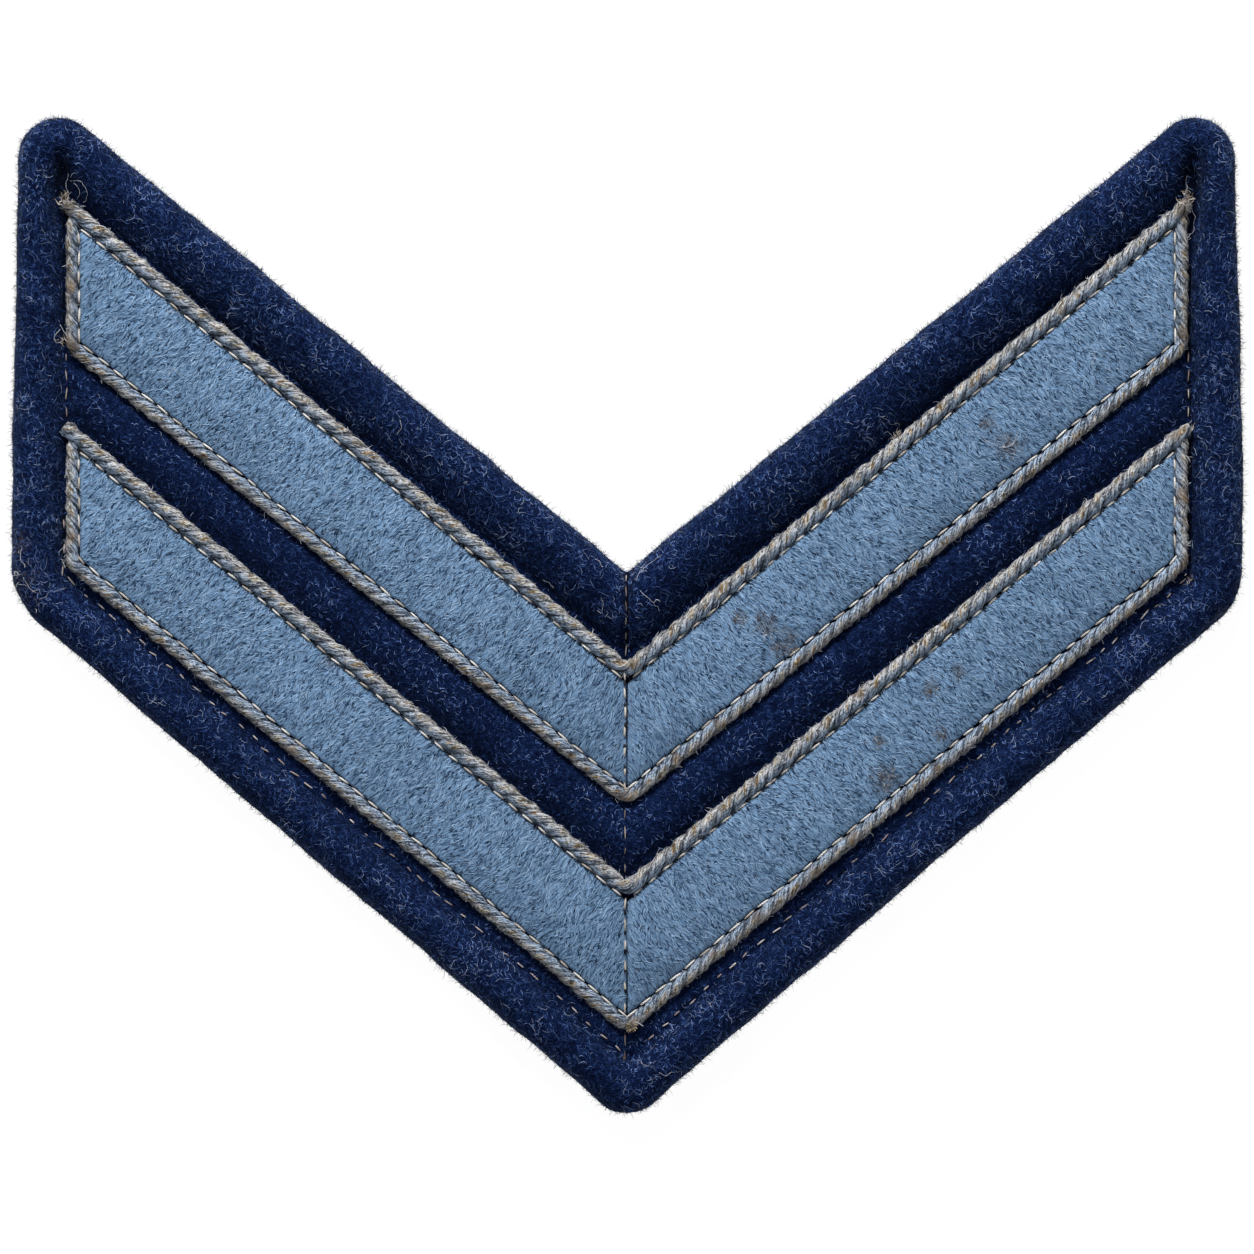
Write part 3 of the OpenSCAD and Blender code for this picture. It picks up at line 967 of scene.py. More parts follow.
def put(name, mesh, material=None):
    """Links a mesh to the scene as a piece at the origin."""
    if material:
        mesh.materials.append(material)
    piece = bpy.data.objects.new(name, mesh)
    scene.collection.objects.link(piece)
    print(name, "triangles:", sum(len(face.vertices) - 2 for face in mesh.polygons))
    return piece


# %% [markdown]
# ### Padded border
# On the real insignia a strip of felt is drawn over a filling and sewn down along its inner foot.
# Its outer line and its foot are the same six corners, rounded differently, so a section is drawn
# between each pair of points. BORDER_ROWS gives that section: the share of the way in, and the
# share of the height. The sides bow outwards a little, and the two arms meet in a seam at the notch.

# %% Outline of the border
BORDER_WRAP = 0.42
BORDER_ROWS = [(0.13, 0.0), (0.035, 0.13), (0.0, 0.33), (0.03, 0.56), (0.09, 0.76), (0.18, 0.89),
               (0.29, 0.97), (0.41, 1.0), (0.53, 0.975), (0.64, 0.91), (0.74, 0.82), (0.84, 0.705),
               (0.93, 0.585), (1.0, 0.47)]
RUN_STEP = 0.8 * MM
ARC_STEPS = 12
SIDE_BOW = 0.28 * MM
BOW_REACH = 28 * MM
BOW_FROM_X = 65.5 * MM
SEAM_DEPTH = 0.7 * MM
SEAM_W = 0.35 * MM
TIP_FOLD_DEPTH = 2.0 * MM
TIP_FOLD_W = 1.25 * MM
TIP_FOLD_LONG = 5.2 * MM
TIP_FOLD_WAY = np.array([0.08, 0.997])
SIDE_DITCH = 0.2 * MM
CREASE_FROM = 0.76
SEWN_SHADE = 0.4
FOLD_SHADE = 1.4
BARE_BELOW = 0.12
BALD_IN_CREASE = 0.85
FUZZ_LAY = (0.8, 0.6, 0.1)


def unit(vector):
    """The same direction, with a length of 1."""
    return vector / np.linalg.norm(vector)


def corner_arc(before, at, after, radius):
    """Points of the arc that rounds the corner at."""
    u = unit(before - at)
    w = unit(after - at)
    half = math.acos(float(u @ w)) / 2
    centre = at + unit(u + w) * radius / math.sin(half)
    start = at + u * radius / math.tan(half) - centre
    end = at + w * radius / math.tan(half) - centre
    turn = math.pi - 2 * half
    t = np.linspace(0, 1, ARC_STEPS + 1)[:, None]
    return centre + (start * np.sin((1 - t) * turn) + end * np.sin(t * turn)) / math.sin(turn)


def closed_path(corners, radii, run_steps):
    """A rounded outline: an arc at each corner, then equal steps to the next arc."""
    count = len(corners)
    arcs = [corner_arc(corners[i - 1], corners[i], corners[(i + 1) % count], radii[i])
            for i in range(count)]
    path = []
    for i, arc in enumerate(arcs):
        path.extend(arc[:-1])
        after = arcs[(i + 1) % count][0]
        path.extend(arc[-1] + (after - arc[-1]) * t for t in np.arange(run_steps[i]) / run_steps[i])
    return np.array(path)


def six_corners(notch_y, upper, lower, tip_y):
    """The corners from the notch round the left side to the tip and back up the right side."""
    left = [(0, notch_y), (-upper[0], upper[1]), (-lower[0], lower[1]), (0, tip_y)]
    right = [(lower[0], lower[1]), (upper[0], upper[1])]
    return np.array(left + right)


outer_corners = six_corners(NOTCH_Y, (POINT_HALF_W, POINT_Y), (HALF_W, SIDE_CORNER_Y), TIP_Y)
foot_x = BORDER_FOOT_X + SIDE_DITCH
foot_corners = six_corners(FOOT_NOTCH_Y, (foot_x, FOOT_NOTCH_Y + TOP_SLOPE * foot_x),
                           (foot_x, FOOT_TIP_Y + BOTTOM_SLOPE * foot_x), FOOT_TIP_Y)
run_lengths = np.linalg.norm(np.roll(outer_corners, -1, axis=0) - outer_corners, axis=1)
run_steps = [round(length / RUN_STEP) for length in run_lengths]
OUTER_RADII = [0.6 * MM, 4.2 * MM, 8.0 * MM, 4.0 * MM, 8.0 * MM, 4.2 * MM]
FOOT_RADII = [0.6 * MM, 0.5 * MM, 2.2 * MM, 0.6 * MM, 2.2 * MM, 0.5 * MM]
outer_path = closed_path(outer_corners, OUTER_RADII, run_steps)
foot_path = closed_path(foot_corners, FOOT_RADII, run_steps)
print("outline points:", len(outer_path))


# %% Border mesh
def smooth_rows(rows, parts):
    """A soft curve through rows of two numbers, with so many parts to a row."""
    rows = np.array(rows)
    padded = np.vstack([2 * rows[0] - rows[1], rows, 2 * rows[-1] - rows[-2]])
    found = []
    for i in range(len(rows) - 1):
        a, b, c, d = padded[i:i + 4]
        for t in np.arange(parts) / parts:
            found.append(0.5 * (2 * b + (c - a) * t + (2 * a - 5 * b + 4 * c - d) * t ** 2
                                + (3 * b - a - 3 * c + d) * t ** 3))
    found.append(rows[-1])
    return np.array(found)


def seam_dip(x, y):
    """How far the notch seam draws the border in."""
    return SEAM_DEPTH * math.exp(-(x / SEAM_W) ** 2) * (y > FOOT_NOTCH_Y - 1 * MM)


def tip_dip(x, y):
    """How far the fold from an upper corner of the foot out to the tip draws the border in."""
    ahead = np.array([abs(x) - BORDER_FOOT_X, y - FOOT_NOTCH_Y - TOP_SLOPE * BORDER_FOOT_X])
    along = float(ahead @ TIP_FOLD_WAY)
    across = float(ahead @ (-TIP_FOLD_WAY[1], TIP_FOLD_WAY[0]))
    fade = max(0.0, 1 - (along / TIP_FOLD_LONG) ** 2)
    return TIP_FOLD_DEPTH * fade * math.exp(-(across / TIP_FOLD_W) ** 2)


def side_bow(x, y):
    """How far the side bows outwards at a point of the outer line."""
    bow = SIDE_BOW * max(0.0, 1 - ((y - POINT_Y / 2) / BOW_REACH) ** 2)
    return bow * np.clip((abs(x) - BOW_FROM_X) / MM, 0, 1) * np.sign(x)


def border_mesh():
    """The closed roll, with an attribute for the thickness of its fuzz."""
    dome = smooth_rows(BORDER_ROWS, 2)
    seat = SEAT_Z / BORDER_H
    profile = np.vstack([dome, [(1.0, seat), (0.7, seat), (BORDER_WRAP, seat), (BORDER_WRAP, 0.0)]])
    vertices = []
    for outer, foot in zip(outer_path, foot_path):
        bow = side_bow(*outer)
        for inward, high in profile:
            x, y = outer + (foot - outer) * inward
            tall = high * BORDER_H
            if high > seat:
                tall = max(SEAT_Z, tall - (seam_dip(x, y) + tip_dip(x, y)) * min(1.0, high * 2))
            vertices.append((x + bow * (1 - inward), y, tall))
    mesh = new_mesh("border", vertices, ring_faces(len(outer_path), len(profile), True))
    roughen(mesh, [(9 * MM, 0.22 * MM), (2.6 * MM, 0.12 * MM), (0.9 * MM, 0.06 * MM)],
            lambda place: min(1.0, max(0.0, place.z / (0.8 * MM))))
    shown = [float(high >= BARE_BELOW and i < len(dome)) for i, (_, high) in enumerate(profile)]
    shown = np.tile(shown, len(outer_path))
    # Painted shade: the sewn foot, the notch seam and the tip fold get crease values, which darken the felt
    # and thin its hairs.
    sewn = SEWN_SHADE * np.clip((profile[:, 0] - CREASE_FROM) / (1 - CREASE_FROM), 0, 1)
    folded = [seam_dip(x, y) / SEAM_DEPTH + FOLD_SHADE * tip_dip(x, y) / TIP_FOLD_DEPTH
              for x, y, _ in places(mesh)]
    crease = np.clip(np.maximum(np.tile(sewn, len(outer_path)), folded), 0, 1)
    mark(mesh, crease=crease, hair=shown * (1 - BALD_IN_CREASE * crease), lay=[FUZZ_LAY] * len(crease))
    mesh.shade_smooth()
    return mesh


border = put("border.felt", border_mesh(), border_felt)

# %% [markdown]
# ### Ground
# The ground is one flat piece of felt that lies under everything and ends inside the border. A
# flat shape with any outline is filled by a Delaunay triangulation of its outline and of a loose
# grid of points inside. The same triangles serve for its face and its back. Between the stripes
# the face swells a little and falls away to the cord below, which is why that strip darkens there,
# and painted shade darkens it further along that cord, beside the side cords and above the upper stripe.

# %% Ground mesh
GROUND_EDGE = 0.44
PUFF = 1.1 * MM
PUFF_RISE = 3.3 * MM
PUFF_FALL = 1.3 * MM
DITCH_PUFF = 0.7 * MM
DITCH_RISE = 0.8 * MM
PUFF_SIDE = 2.0 * MM
UNDER_SHADE = 0.75
UNDER_REACH = 1.5 * MM
SIDE_SHADE_IN = 0.7 * MM
SIDE_SHADE_FADE = 0.5 * MM
OVER_SHADE = 0.2
OVER_SHADE_IN = 0.5 * MM
GRID = 1.0 * MM
LOOSE = 0.3
INSIDE_ONLY = 1
SAME_POINT = 1e-7
STRIPE_MARGIN = 0.1 * MM
BALD_IN_SHADE = 0.6


def inside_stripe(x, y):
    """Whether a place lies under a stripe, where no fuzz can show."""
    for top_mid, top_end, low_mid, low_end in STRIPES.values():
        below_top = y < edge_y(x, top_mid, top_end) - STRIPE_MARGIN
        above_low = y > edge_y(x, low_mid, low_end) + STRIPE_MARGIN
        if below_top and above_low and abs(x) < STRIPE_HALF_W - STRIPE_MARGIN:
            return True
    return False


def inside_foot(x, y):
    """Whether a place lies inside the border's foot."""
    above = y > FOOT_TIP_Y + BOTTOM_SLOPE * abs(x)
    below = y < FOOT_NOTCH_Y + TOP_SLOPE * abs(x)
    return above and below and abs(x) < BORDER_FOOT_X


def soft_step(value):
    """From 0 to 1 with soft ends."""
    t = min(1.0, max(0.0, value))
    return t * t * (3 - 2 * t)


def between_stripes(x, y):
    """How far a place lies above the lower stripe's cord and below the upper stripe's cord."""
    return y - edge_y(x, *STRIPES["lower"][:2]), edge_y(x, *STRIPES["upper"][2:]) - y


def puff(x, y):
    """How far the felt swells between the stripes, and a little below the lower one."""
    above, below = between_stripes(x, y)
    swell = PUFF * soft_step(above / PUFF_RISE) * soft_step(below / PUFF_FALL)
    above = y - FOOT_TIP_Y - BOTTOM_SLOPE * abs(x)
    below = edge_y(x, *STRIPES["lower"][2:]) - y
    swell += DITCH_PUFF * soft_step(above / DITCH_RISE) * soft_step(below / DITCH_RISE)
    return swell * soft_step((BORDER_FOOT_X - abs(x)) / PUFF_SIDE)


def ground_crease(x, y):
    """How deep in shade the felt lies: along the cord below it, and outside the side and top cords."""
    above, below = between_stripes(x, y)
    beside = soft_step((abs(x) - STRIPE_HALF_W + SIDE_SHADE_IN) / SIDE_SHADE_FADE)
    under = UNDER_SHADE * math.exp(-(above / UNDER_REACH) ** 2) if above > 0 and below > 0 else 0.0
    over = OVER_SHADE * (y > edge_y(x, *STRIPES["upper"][:2]) - OVER_SHADE_IN)
    return max(beside, under, over)


def ground_mesh():
    """A felt slab with the outline of the CAD piece."""
    outline = outer_path + (foot_path - outer_path) * GROUND_EDGE
    jitter = np.random.default_rng(11)
    xs = np.arange(-66, 67) * GRID
    ys = np.arange(-56, 60) * GRID
    loose = [(x + jitter.uniform(-LOOSE, LOOSE) * GRID, y + jitter.uniform(-LOOSE, LOOSE) * GRID)
             for x in xs for y in ys]
    ring = len(outline)
    points = [Vector(p) for p in outline] + [Vector(p) for p in loose if inside_foot(*p)]
    edges = [(i, (i + 1) % ring) for i in range(ring)]
    flat, _, faces, *_ = delaunay_2d_cdt(points, edges, [], INSIDE_ONLY, SAME_POINT)
    count = len(flat)
    top = [(p.x, p.y, GROUND_T + puff(p.x, p.y)) for p in flat]
    back = [(p.x, p.y, 0.0) for p in flat]
    sides = [(i, (i + 1) % ring, count + (i + 1) % ring, count + i) for i in range(ring)]
    under = [tuple(count + i for i in reversed(face)) for face in faces]
    mesh = new_mesh("ground", top + back, faces + sides + under)
    roughen(mesh, [(7 * MM, 0.1 * MM), (2 * MM, 0.07 * MM)],
            lambda place: float(place.z > GROUND_T / 2 and inside_foot(place.x, place.y)))
    at = [v.co for v in mesh.vertices]
    shown = np.array([float(p.z > GROUND_T / 2 and inside_foot(p.x, p.y) and not inside_stripe(p.x, p.y))
                      for p in at])
    # Painted shade along the top cord of the lower stripe, beside the side cords and above the upper stripe.
    crease = np.array([ground_crease(p.x, p.y) for p in at])
    mark(mesh, crease=crease, hair=shown * (1 - BALD_IN_SHADE * crease), lay=[(0.8, 0.6, 0.0)] * len(at))
    mesh.shade_smooth()
    return mesh


ground = put("ground.felt", ground_mesh(), ground_felt)

# %% [markdown]
# ### Stripes
# Each chevron is two arms of felt that meet in a sewn seam on the centre line. An arm is lofted
# from the seam to its end. It swells towards its middle, because the stitches draw its edges down,
# and that slope makes the lower half of each stripe darker than the upper half. The nap of the left
# arm lies up and to the right, about square to the arm, and turns steeper towards the seam. The
# right arm mirrors it.

# %% Stripe meshes
EDGE_INSET = np.array([0.0, 0.35, 1.0, 2.4, 4.0, 6.0]) * MM
LOW_SHARE = np.array([0.58, 0.68, 0.77, 0.89, 0.97, 1.0])
TOP_SHARE = np.array([0.72, 0.86, 0.93, 0.98, 1.0, 1.0])
SEAM_INSET = np.array([0.0, 0.4, 1.4]) * MM
SEAM_SHARE = np.array([0.66, 0.87, 1.0])
BARE_EDGE = 0.45 * MM
STITCH_PITCH = 2.08 * MM
PUCKER = 0.16 * MM
PUCKER_REACH = 0.7 * MM
ARM_SLANT = 1.29
ARMS_APART = 60
NAP_ANGLE = math.radians(38)
NAP_FAN = math.radians(20)
NAP_FAN_W = 9.0 * MM
ARM_COLUMNS = 150
ARM_ROWS = 36


def nap_angle(x):
    """The nap's angle above the horizontal, steeper near the centre seam."""
    return NAP_ANGLE + NAP_FAN * np.exp(-(np.abs(x) / NAP_FAN_W) ** 2)


NAP_X = np.linspace(0, STRIPE_HALF_W, 200)
NAP_RISE = np.concatenate([[0], np.cumsum(np.tan(nap_angle(NAP_X[:-1])) * np.diff(NAP_X))])
NAP_LONG = np.concatenate([[0], np.cumsum(np.diff(NAP_X) / np.cos(nap_angle(NAP_X[:-1])))])


def stripe_edges(name):
    """The felt's own upper and lower edges, inside the cords, as pairs of mid and end."""
    top_mid, top_end, low_mid, low_end = STRIPES[name]
    drop = TOP_CORD_D * upright(top_mid, top_end) + GAP
    lift = BOTTOM_CORD_D * upright(low_mid, low_end) + GAP
    return (top_mid - drop, top_end - drop), (low_mid + lift, low_end + lift)


STRIPE_END_X = STRIPE_HALF_W - BOTTOM_CORD_D - GAP


def arm_mesh(name, side):
    """One arm of a stripe; side is -1 for the left and 1 for the right."""
    upper, lower = stripe_edges(name)
    even = np.linspace(0, 1, ARM_COLUMNS)
    xs = GAP + (STRIPE_END_X - GAP) * even
    rows = np.linspace(0, 1, ARM_ROWS)
    vertices = []
    hairy = []
    for x in xs:
        high = edge_y(x, *upper)
        low = edge_y(x, *lower)
        seam_share = np.interp(x - GAP, SEAM_INSET, SEAM_SHARE)
        vertices.append((side * x, low, SEAT_Z))
        hairy.append(0.0)
        for share in rows:
            y = low + (high - low) * share
            inset = min(y - low, high - y, STRIPE_END_X - x)
            thick = min(np.interp(y - low, EDGE_INSET, LOW_SHARE), np.interp(high - y, EDGE_INSET, TOP_SHARE),
                        np.interp(STRIPE_END_X - x, EDGE_INSET, TOP_SHARE)) * seam_share * STRIPE_T
            pucker = PUCKER * math.exp(-(inset / PUCKER_REACH) ** 2)
            pucker *= 0.5 - 0.5 * math.cos(2 * math.pi * x * ARM_SLANT / STITCH_PITCH)
            vertices.append((side * x, y, SEAT_Z + thick - pucker))
            hairy.append(float(inset > BARE_EDGE and x > 2 * BARE_EDGE))
        vertices.append((side * x, high, SEAT_Z))
        hairy.append(0.0)
    size = ARM_ROWS + 2
    faces = ring_faces(len(xs), size, False)
    faces.append(tuple(range(size)))
    faces.append(tuple((len(xs) - 1) * size + i for i in reversed(range(size))))
    mesh = new_mesh(name + " arm", vertices, faces)
    roughen(mesh, [(8 * MM, 0.12 * MM), (2.2 * MM, 0.08 * MM), (0.8 * MM, 0.05 * MM)],
            lambda place: min(1.0, max(0.0, (place.z - SEAT_Z) / MM)))
    at = places(mesh)
    reach = np.abs(at[:, 0])
    angle = nap_angle(reach)
    lay = np.stack([-side * np.cos(angle), np.sin(angle), np.zeros(len(at))], 1)
    lane = at[:, 1] + np.interp(reach, NAP_X, NAP_RISE)
    nap = np.stack([np.interp(reach, NAP_X, NAP_LONG), lane, np.zeros(len(at))], 1) / MM
    nap[:, 1] += ARMS_APART * side
    mark(mesh, nap=nap, lay=lay, hair=hairy)
    mesh.shade_smooth()
    return mesh


SIDES = {"left": -1, "right": 1}
arms = {}
for stripe in STRIPES:
    for side in SIDES:
        node = f"{stripe}_stripe_{side}"
        arms[node] = put(node + ".felt", arm_mesh(stripe, SIDES[side]), pale_felt)

# %% [markdown]
# ### Cords
# Each stripe has two cords. One lies along its upper edge. The other comes out from under the
# first at one end, runs down the side, along the lower edge and up again. The routes are those of
# the CAD model. The top cords are a little slimmer, since the stitches beside them take up the rest,
# and the bottom cords lie a little further out, as the stitches pull them. The cord tree turns each
# into a twisted tube, and the tree of wound threads covers it with strands.

# %% Cord routes
CORD_MID_R = 1.4 * MM
CORD_CORNER_R = 1.2 * MM
TOP_SLIM = 0.95
CORD_OUT = 0.15 * MM
CORD_PAST_END = 0.15 * MM
TUCKED_UNDER = 0.72


def mirrored(path):
    """The same points on the other side of the centre line, in reverse order."""
    return (path * (-1, 1))[::-1]


def top_cord_route(top_mid, top_end):
    """Along a stripe's upper edge, from tip to tip."""
    drop = TOP_CORD_D / 2 * TOP_SLIM * upright(top_mid, top_end)
    reach = STRIPE_HALF_W + CORD_PAST_END
    tip = np.array([reach, edge_y(reach, top_mid, top_end) - drop])
    bend = corner_arc(tip * (-1, 1), np.array([0, top_mid - drop]), tip, CORD_MID_R)
    return np.vstack([tip * (-1, 1), bend, tip])


def bottom_cord_route(top_mid, top_end, low_mid, low_end):
    """Down one end of a stripe, along its lower edge and up the other end."""
    r = BOTTOM_CORD_D / 2
    x = STRIPE_END_X + r
    under = TOP_CORD_D * TUCKED_UNDER * upright(top_mid, top_end)
    lift = (r - CORD_OUT) * upright(low_mid, low_end)
    head = np.array([-x, edge_y(x, top_mid, top_end) - under])
    heel = np.array([-x, edge_y(x, low_mid, low_end) + lift])
    centre = np.array([0, low_mid + lift])
    left = corner_arc(head, heel, centre, CORD_CORNER_R)
    bend = corner_arc(heel, centre, heel * (-1, 1), CORD_MID_R)
    return np.vstack([head, left, bend, mirrored(left), head * (-1, 1)])[::-1]


def route_mesh(name, paths):
    """Chains of edges along paths of three coordinates."""
    vertices = []
    edges = []
    for path in paths:
        first = len(vertices)
        vertices.extend(tuple(p) for p in path)
        edges.extend((first + i, first + i + 1) for i in range(len(path) - 1))
    mesh = bpy.data.meshes.new(name)
    mesh.from_pydata(vertices, edges, [])
    return mesh


def at_height(path, z):
    """A flat path lifted to one height."""
    return np.column_stack([path, np.full(len(path), z)])


cord_routes = {}
for stripe, edges in STRIPES.items():
    cord_routes[stripe + "_top_cord"] = (top_cord_route(*edges[:2]), TOP_CORD_D * TOP_SLIM)
    cord_routes[stripe + "_bottom_cord"] = (bottom_cord_route(*edges), BOTTOM_CORD_D)

# %% Cords and their strands
TURN_PER_THICK = 2.75
STRAND_SIZES = {"Per length": 23 / MM, "Width": 0.085 * MM, "Shortest": 0.5 * MM,
                "Longest": 1.8 * MM, "Undone": 0.85, "Lift": 0.12 * MM, "Material": yarn_hair}
cords = {}
cord_trims = {}
for seed, (node, (path, thick)) in enumerate(cord_routes.items()):
    route = route_mesh(node + " route", [at_height(path, SEAT_Z + thick / 2)])
    sizes = {"Radius": thick / 2, "Turn": thick * TURN_PER_THICK, "Groove": 0.32}
    tube = grow(node, route, twisted_cord, {**sizes, "Step": 0.3 * MM, "Sides": 20, "Material": cord_yarn})
    cords[node] = put(node + ".yarn", tube)
    strands = grow(node + " strands", route, wound_threads, {**STRAND_SIZES, **sizes, "Seed": seed * 50})
    cord_trims[node] = put(node + ".strands", strands)

# %% [markdown]
# ## Fuzz and nap
# The same fibre tree now grows the hairs of each cloth. The border and the ground get a dense felt
# of short dark hairs, with a few brighter curls on top. The stripes get short hairs that keep close
# to the lay of the nap. Along the outline, paler hairs stand out past the edge.

# %% Fibres
FLANK_ROWS = range(3, 8)
HALO_RISE = 0.35
UPWARD = 0.3
LOWER_HALO = 0.6
CORD_HAIR_Z = SEAT_Z + 0.4 * MM
NAVY_SIDE = 0.4
NAVY_SIDE_HAIR = 3.0
PALE_SIDE_HAIR = 0.6


def hairs(name, mesh, tree, material, values):
    """Grows fibres from a mesh."""
    return put(name, grow(name, mesh, tree, {**values, "Material": material}))


def halo_base():
    """The border's mesh with hair only on its outer flank, laid away from the middle."""
    mesh = border.data.copy()
    for name in ("hair", "lay"):
        mesh.attributes.remove(mesh.attributes[name])
    size = len(mesh.vertices) // len(outer_path)
    outward = [unit(outer - foot) for outer, foot in zip(outer_path, foot_path)]
    thick = [1.0 if way[1] > UPWARD else LOWER_HALO for way in outward]
    mark(mesh, lay=[(way[0], way[1], HALO_RISE) for way in outward for _ in range(size)],
         hair=[share * (j in FLANK_ROWS) for share in thick for j in range(size)])
    return mesh


def cord_hair_base(cord):
    """A cord's mesh with hair on its upper half, most of it on the side towards the navy felt."""
    mesh = cord.data.copy()
    high = places(mesh)[:, 2] > CORD_HAIR_Z
    outward = np.array([value.vector[0] for value in mesh.attributes["round"].data])
    hair = high * np.where(outward > NAVY_SIDE, NAVY_SIDE_HAIR, PALE_SIDE_HAIR)
    mark(mesh, hair=hair, lay=[FUZZ_LAY] * len(high))
    return mesh


FUZZ = {"Shortest": 0.25 * MM, "Longest": 0.8 * MM, "Width": 0.07 * MM, "Bend": 2.2, "Sway": 0.06,
        "Rise": 0.16, "Swirl": 3.0, "Spread": 2.6, "Roll": 0.4}
CURL = {"Shortest": 0.25 * MM, "Longest": 0.95 * MM, "Width": 0.045 * MM, "Bend": 3.0, "Sway": 0.1,
        "Rise": 0.22, "Swirl": 3.0, "Spread": 2.8}
border_hairs = [
    hairs("border.fuzz", border.data.copy(), short_fibres, navy_hair, {
        **FUZZ, "Per area": 10.5 / MM ** 2, "Seed": 3}),
    hairs("border.curls", border.data.copy(), curls, navy_curl, {
        **CURL, "Per area": 3.3 / MM ** 2, "Seed": 13, "Longest": 1.6 * MM, "Bend": 2.5, "Width": 0.04 * MM}),
    hairs("border.halo", halo_base(), curls, halo_hair, {
        **CURL, "Per area": 9.0 / MM ** 2, "Seed": 16, "Spread": 2.6, "Swirl": 1.5, "Bend": 3.4,
        "Rise": 0.85, "Shortest": 0.25 * MM, "Longest": 1.1 * MM, "Width": 0.04 * MM})]
ground_hairs = [
    hairs("ground.fuzz", ground.data.copy(), short_fibres, navy_hair, {
        **FUZZ, "Per area": 10.5 / MM ** 2, "Seed": 23}),
    hairs("ground.curls", ground.data.copy(), curls, navy_curl, {
        **CURL, "Per area": 1.4 / MM ** 2, "Seed": 33})]
NAP = {"Shortest": 0.4 * MM, "Longest": 1.4 * MM, "Width": 0.065 * MM, "Bend": 0.9, "Sway": 0.05,
       "Rise": 0.1, "Swirl": 2.4, "Spread": 0.4}
# Dark ribbons among the nap: painted shade where its tufts part.
GAP_SHADE_RIBBONS = {**NAP, "Shortest": 0.25 * MM, "Longest": 0.65 * MM, "Width": 0.15 * MM, "Rise": 0.22, "Roll": 0.2}
cord_fuzz = [hairs(node + ".fuzz", cord_hair_base(cord), curls, grey_hair, {
    **CURL, "Per area": 0.9 / MM ** 2, "Seed": 40 + seed, "Longest": 1.1 * MM, "Width": 0.035 * MM})
    for seed, (node, cord) in enumerate(cords.items())]
naps = {}
for seed, (node, arm) in enumerate(arms.items()):
    naps[node] = [
        hairs(node + ".nap", arm.data.copy(), short_fibres, pale_hair, {
            **NAP, "Per area": 13.0 / MM ** 2, "Seed": 60 + seed * 10}),
        hairs(node + ".gaps", arm.data.copy(), short_fibres, pit_shade, {
            **GAP_SHADE_RIBBONS, "Per area": 1.0 / MM ** 2, "Seed": 65 + seed * 10})]

# %% [markdown]
# ## Stitches
# Cream thread runs along the inner edge of every cord and holds it to the felt. A second row sews
# the border's foot down. On the centre line a seam joins the two arms: its thread is cream where it
# crosses the pale felt, and brown and sunken where it crosses the navy.

# %% Heights of the cloth
ABOVE_ALL = 20 * MM
cloth = [BVHTree.FromPolygons([v.co for v in piece.data.vertices], [p.vertices for p in piece.data.polygons])
         for piece in (border, ground, *arms.values(), *cords.values())]


def lie(points, lift=0.06):
    """Lays a path of x and y, in millimetres, on whatever is highest below it."""
    path = []
    for x, y in points:
        start = Vector((x * MM, y * MM, ABOVE_ALL))
        hits = [tree.ray_cast(start, Vector((0, 0, -1)))[0] for tree in cloth]
        path.append((x * MM, y * MM, max([hit.z for hit in hits if hit] or [0.0]) + lift * MM))
    return path


# %% Stitch routes
ON_SIDE_CORD = 0.04 * MM
ON_CORD = 0.16 * MM
HIGH_STITCH = SEAT_Z + 1.3 * MM
LOW_STITCH = SEAT_Z + 1.1 * MM
PULLED_IN = 0.1 * MM


def sewn_line(name):
    """The gutter between the felt of a stripe and its cords, from the centre round both ends.

    The thread is pulled in deeper along the right arm's upper edge and the left arm's lower edge."""
    upper, lower = stripe_edges(name)
    end = STRIPE_END_X + ON_SIDE_CORD
    near = 0.5 * MM
    halves = []
    for side in (-1, 1):
        high_z = HIGH_STITCH - PULLED_IN * (side > 0)
        low_z = LOW_STITCH - PULLED_IN * (side < 0)
        corners = [(near, edge_y(near, *upper) + ON_CORD, high_z),
                   (end, edge_y(end, *upper), high_z),
                   (end, edge_y(end, *lower) - ON_CORD / 2, low_z),
                   (near, edge_y(near, *lower) - ON_CORD, low_z)]
        halves.append(np.array(corners) * (side, 1, 1))
    return halves


def upright_line(x, top, bottom, z):
    """A straight route down the page, in millimetres."""
    return np.array([(x, y, z) for y in np.linspace(top, bottom, 12)]) * MM


SEAM_X = -0.22
FELT_TOP = (SEAT_Z + STRIPE_T) / MM
gutters = [half for name in STRIPES for half in sewn_line(name)]
ditch_x = np.linspace(0.9, 61.2, 120)
ditch_y = FOOT_TIP_Y / MM + BOTTOM_SLOPE * ditch_x + 0.05
ditches = [lie(zip(side * ditch_x, ditch_y), lift=0.04) for side in (-1, 1)]
ditches.append(upright_line(-61.95, 10.6, 5.0, SEAT_Z / MM + 0.4))
pale_seams = [upright_line(SEAM_X, top, bottom, FELT_TOP - 0.2)
              for top, bottom in ((-6.4, -19.0), (-31.6, -43.2))]
navy_seams = [lie([(SEAM_X / 2, y) for y in np.arange(4.2, -4.2, -0.4)], lift=0.1)]
navy_seams += [lie([(SEAM_X, y) for y in np.arange(top, bottom, -0.4)], lift=0.12)
               for top, bottom in ((-21.8, -28.0), (-46.6, -48.8))]
navy_seams += [upright_line(x, 28.4, 20.4, SEAT_Z / MM + 0.3) for x in (-61.65, 61.75)]


# %% Sew the rows
def sew(name, routes, material, values):
    """Lays stitches along routes as one piece."""
    return put(name, grow(name, route_mesh(name, routes), stitch_row, {**values, "Material": material}))


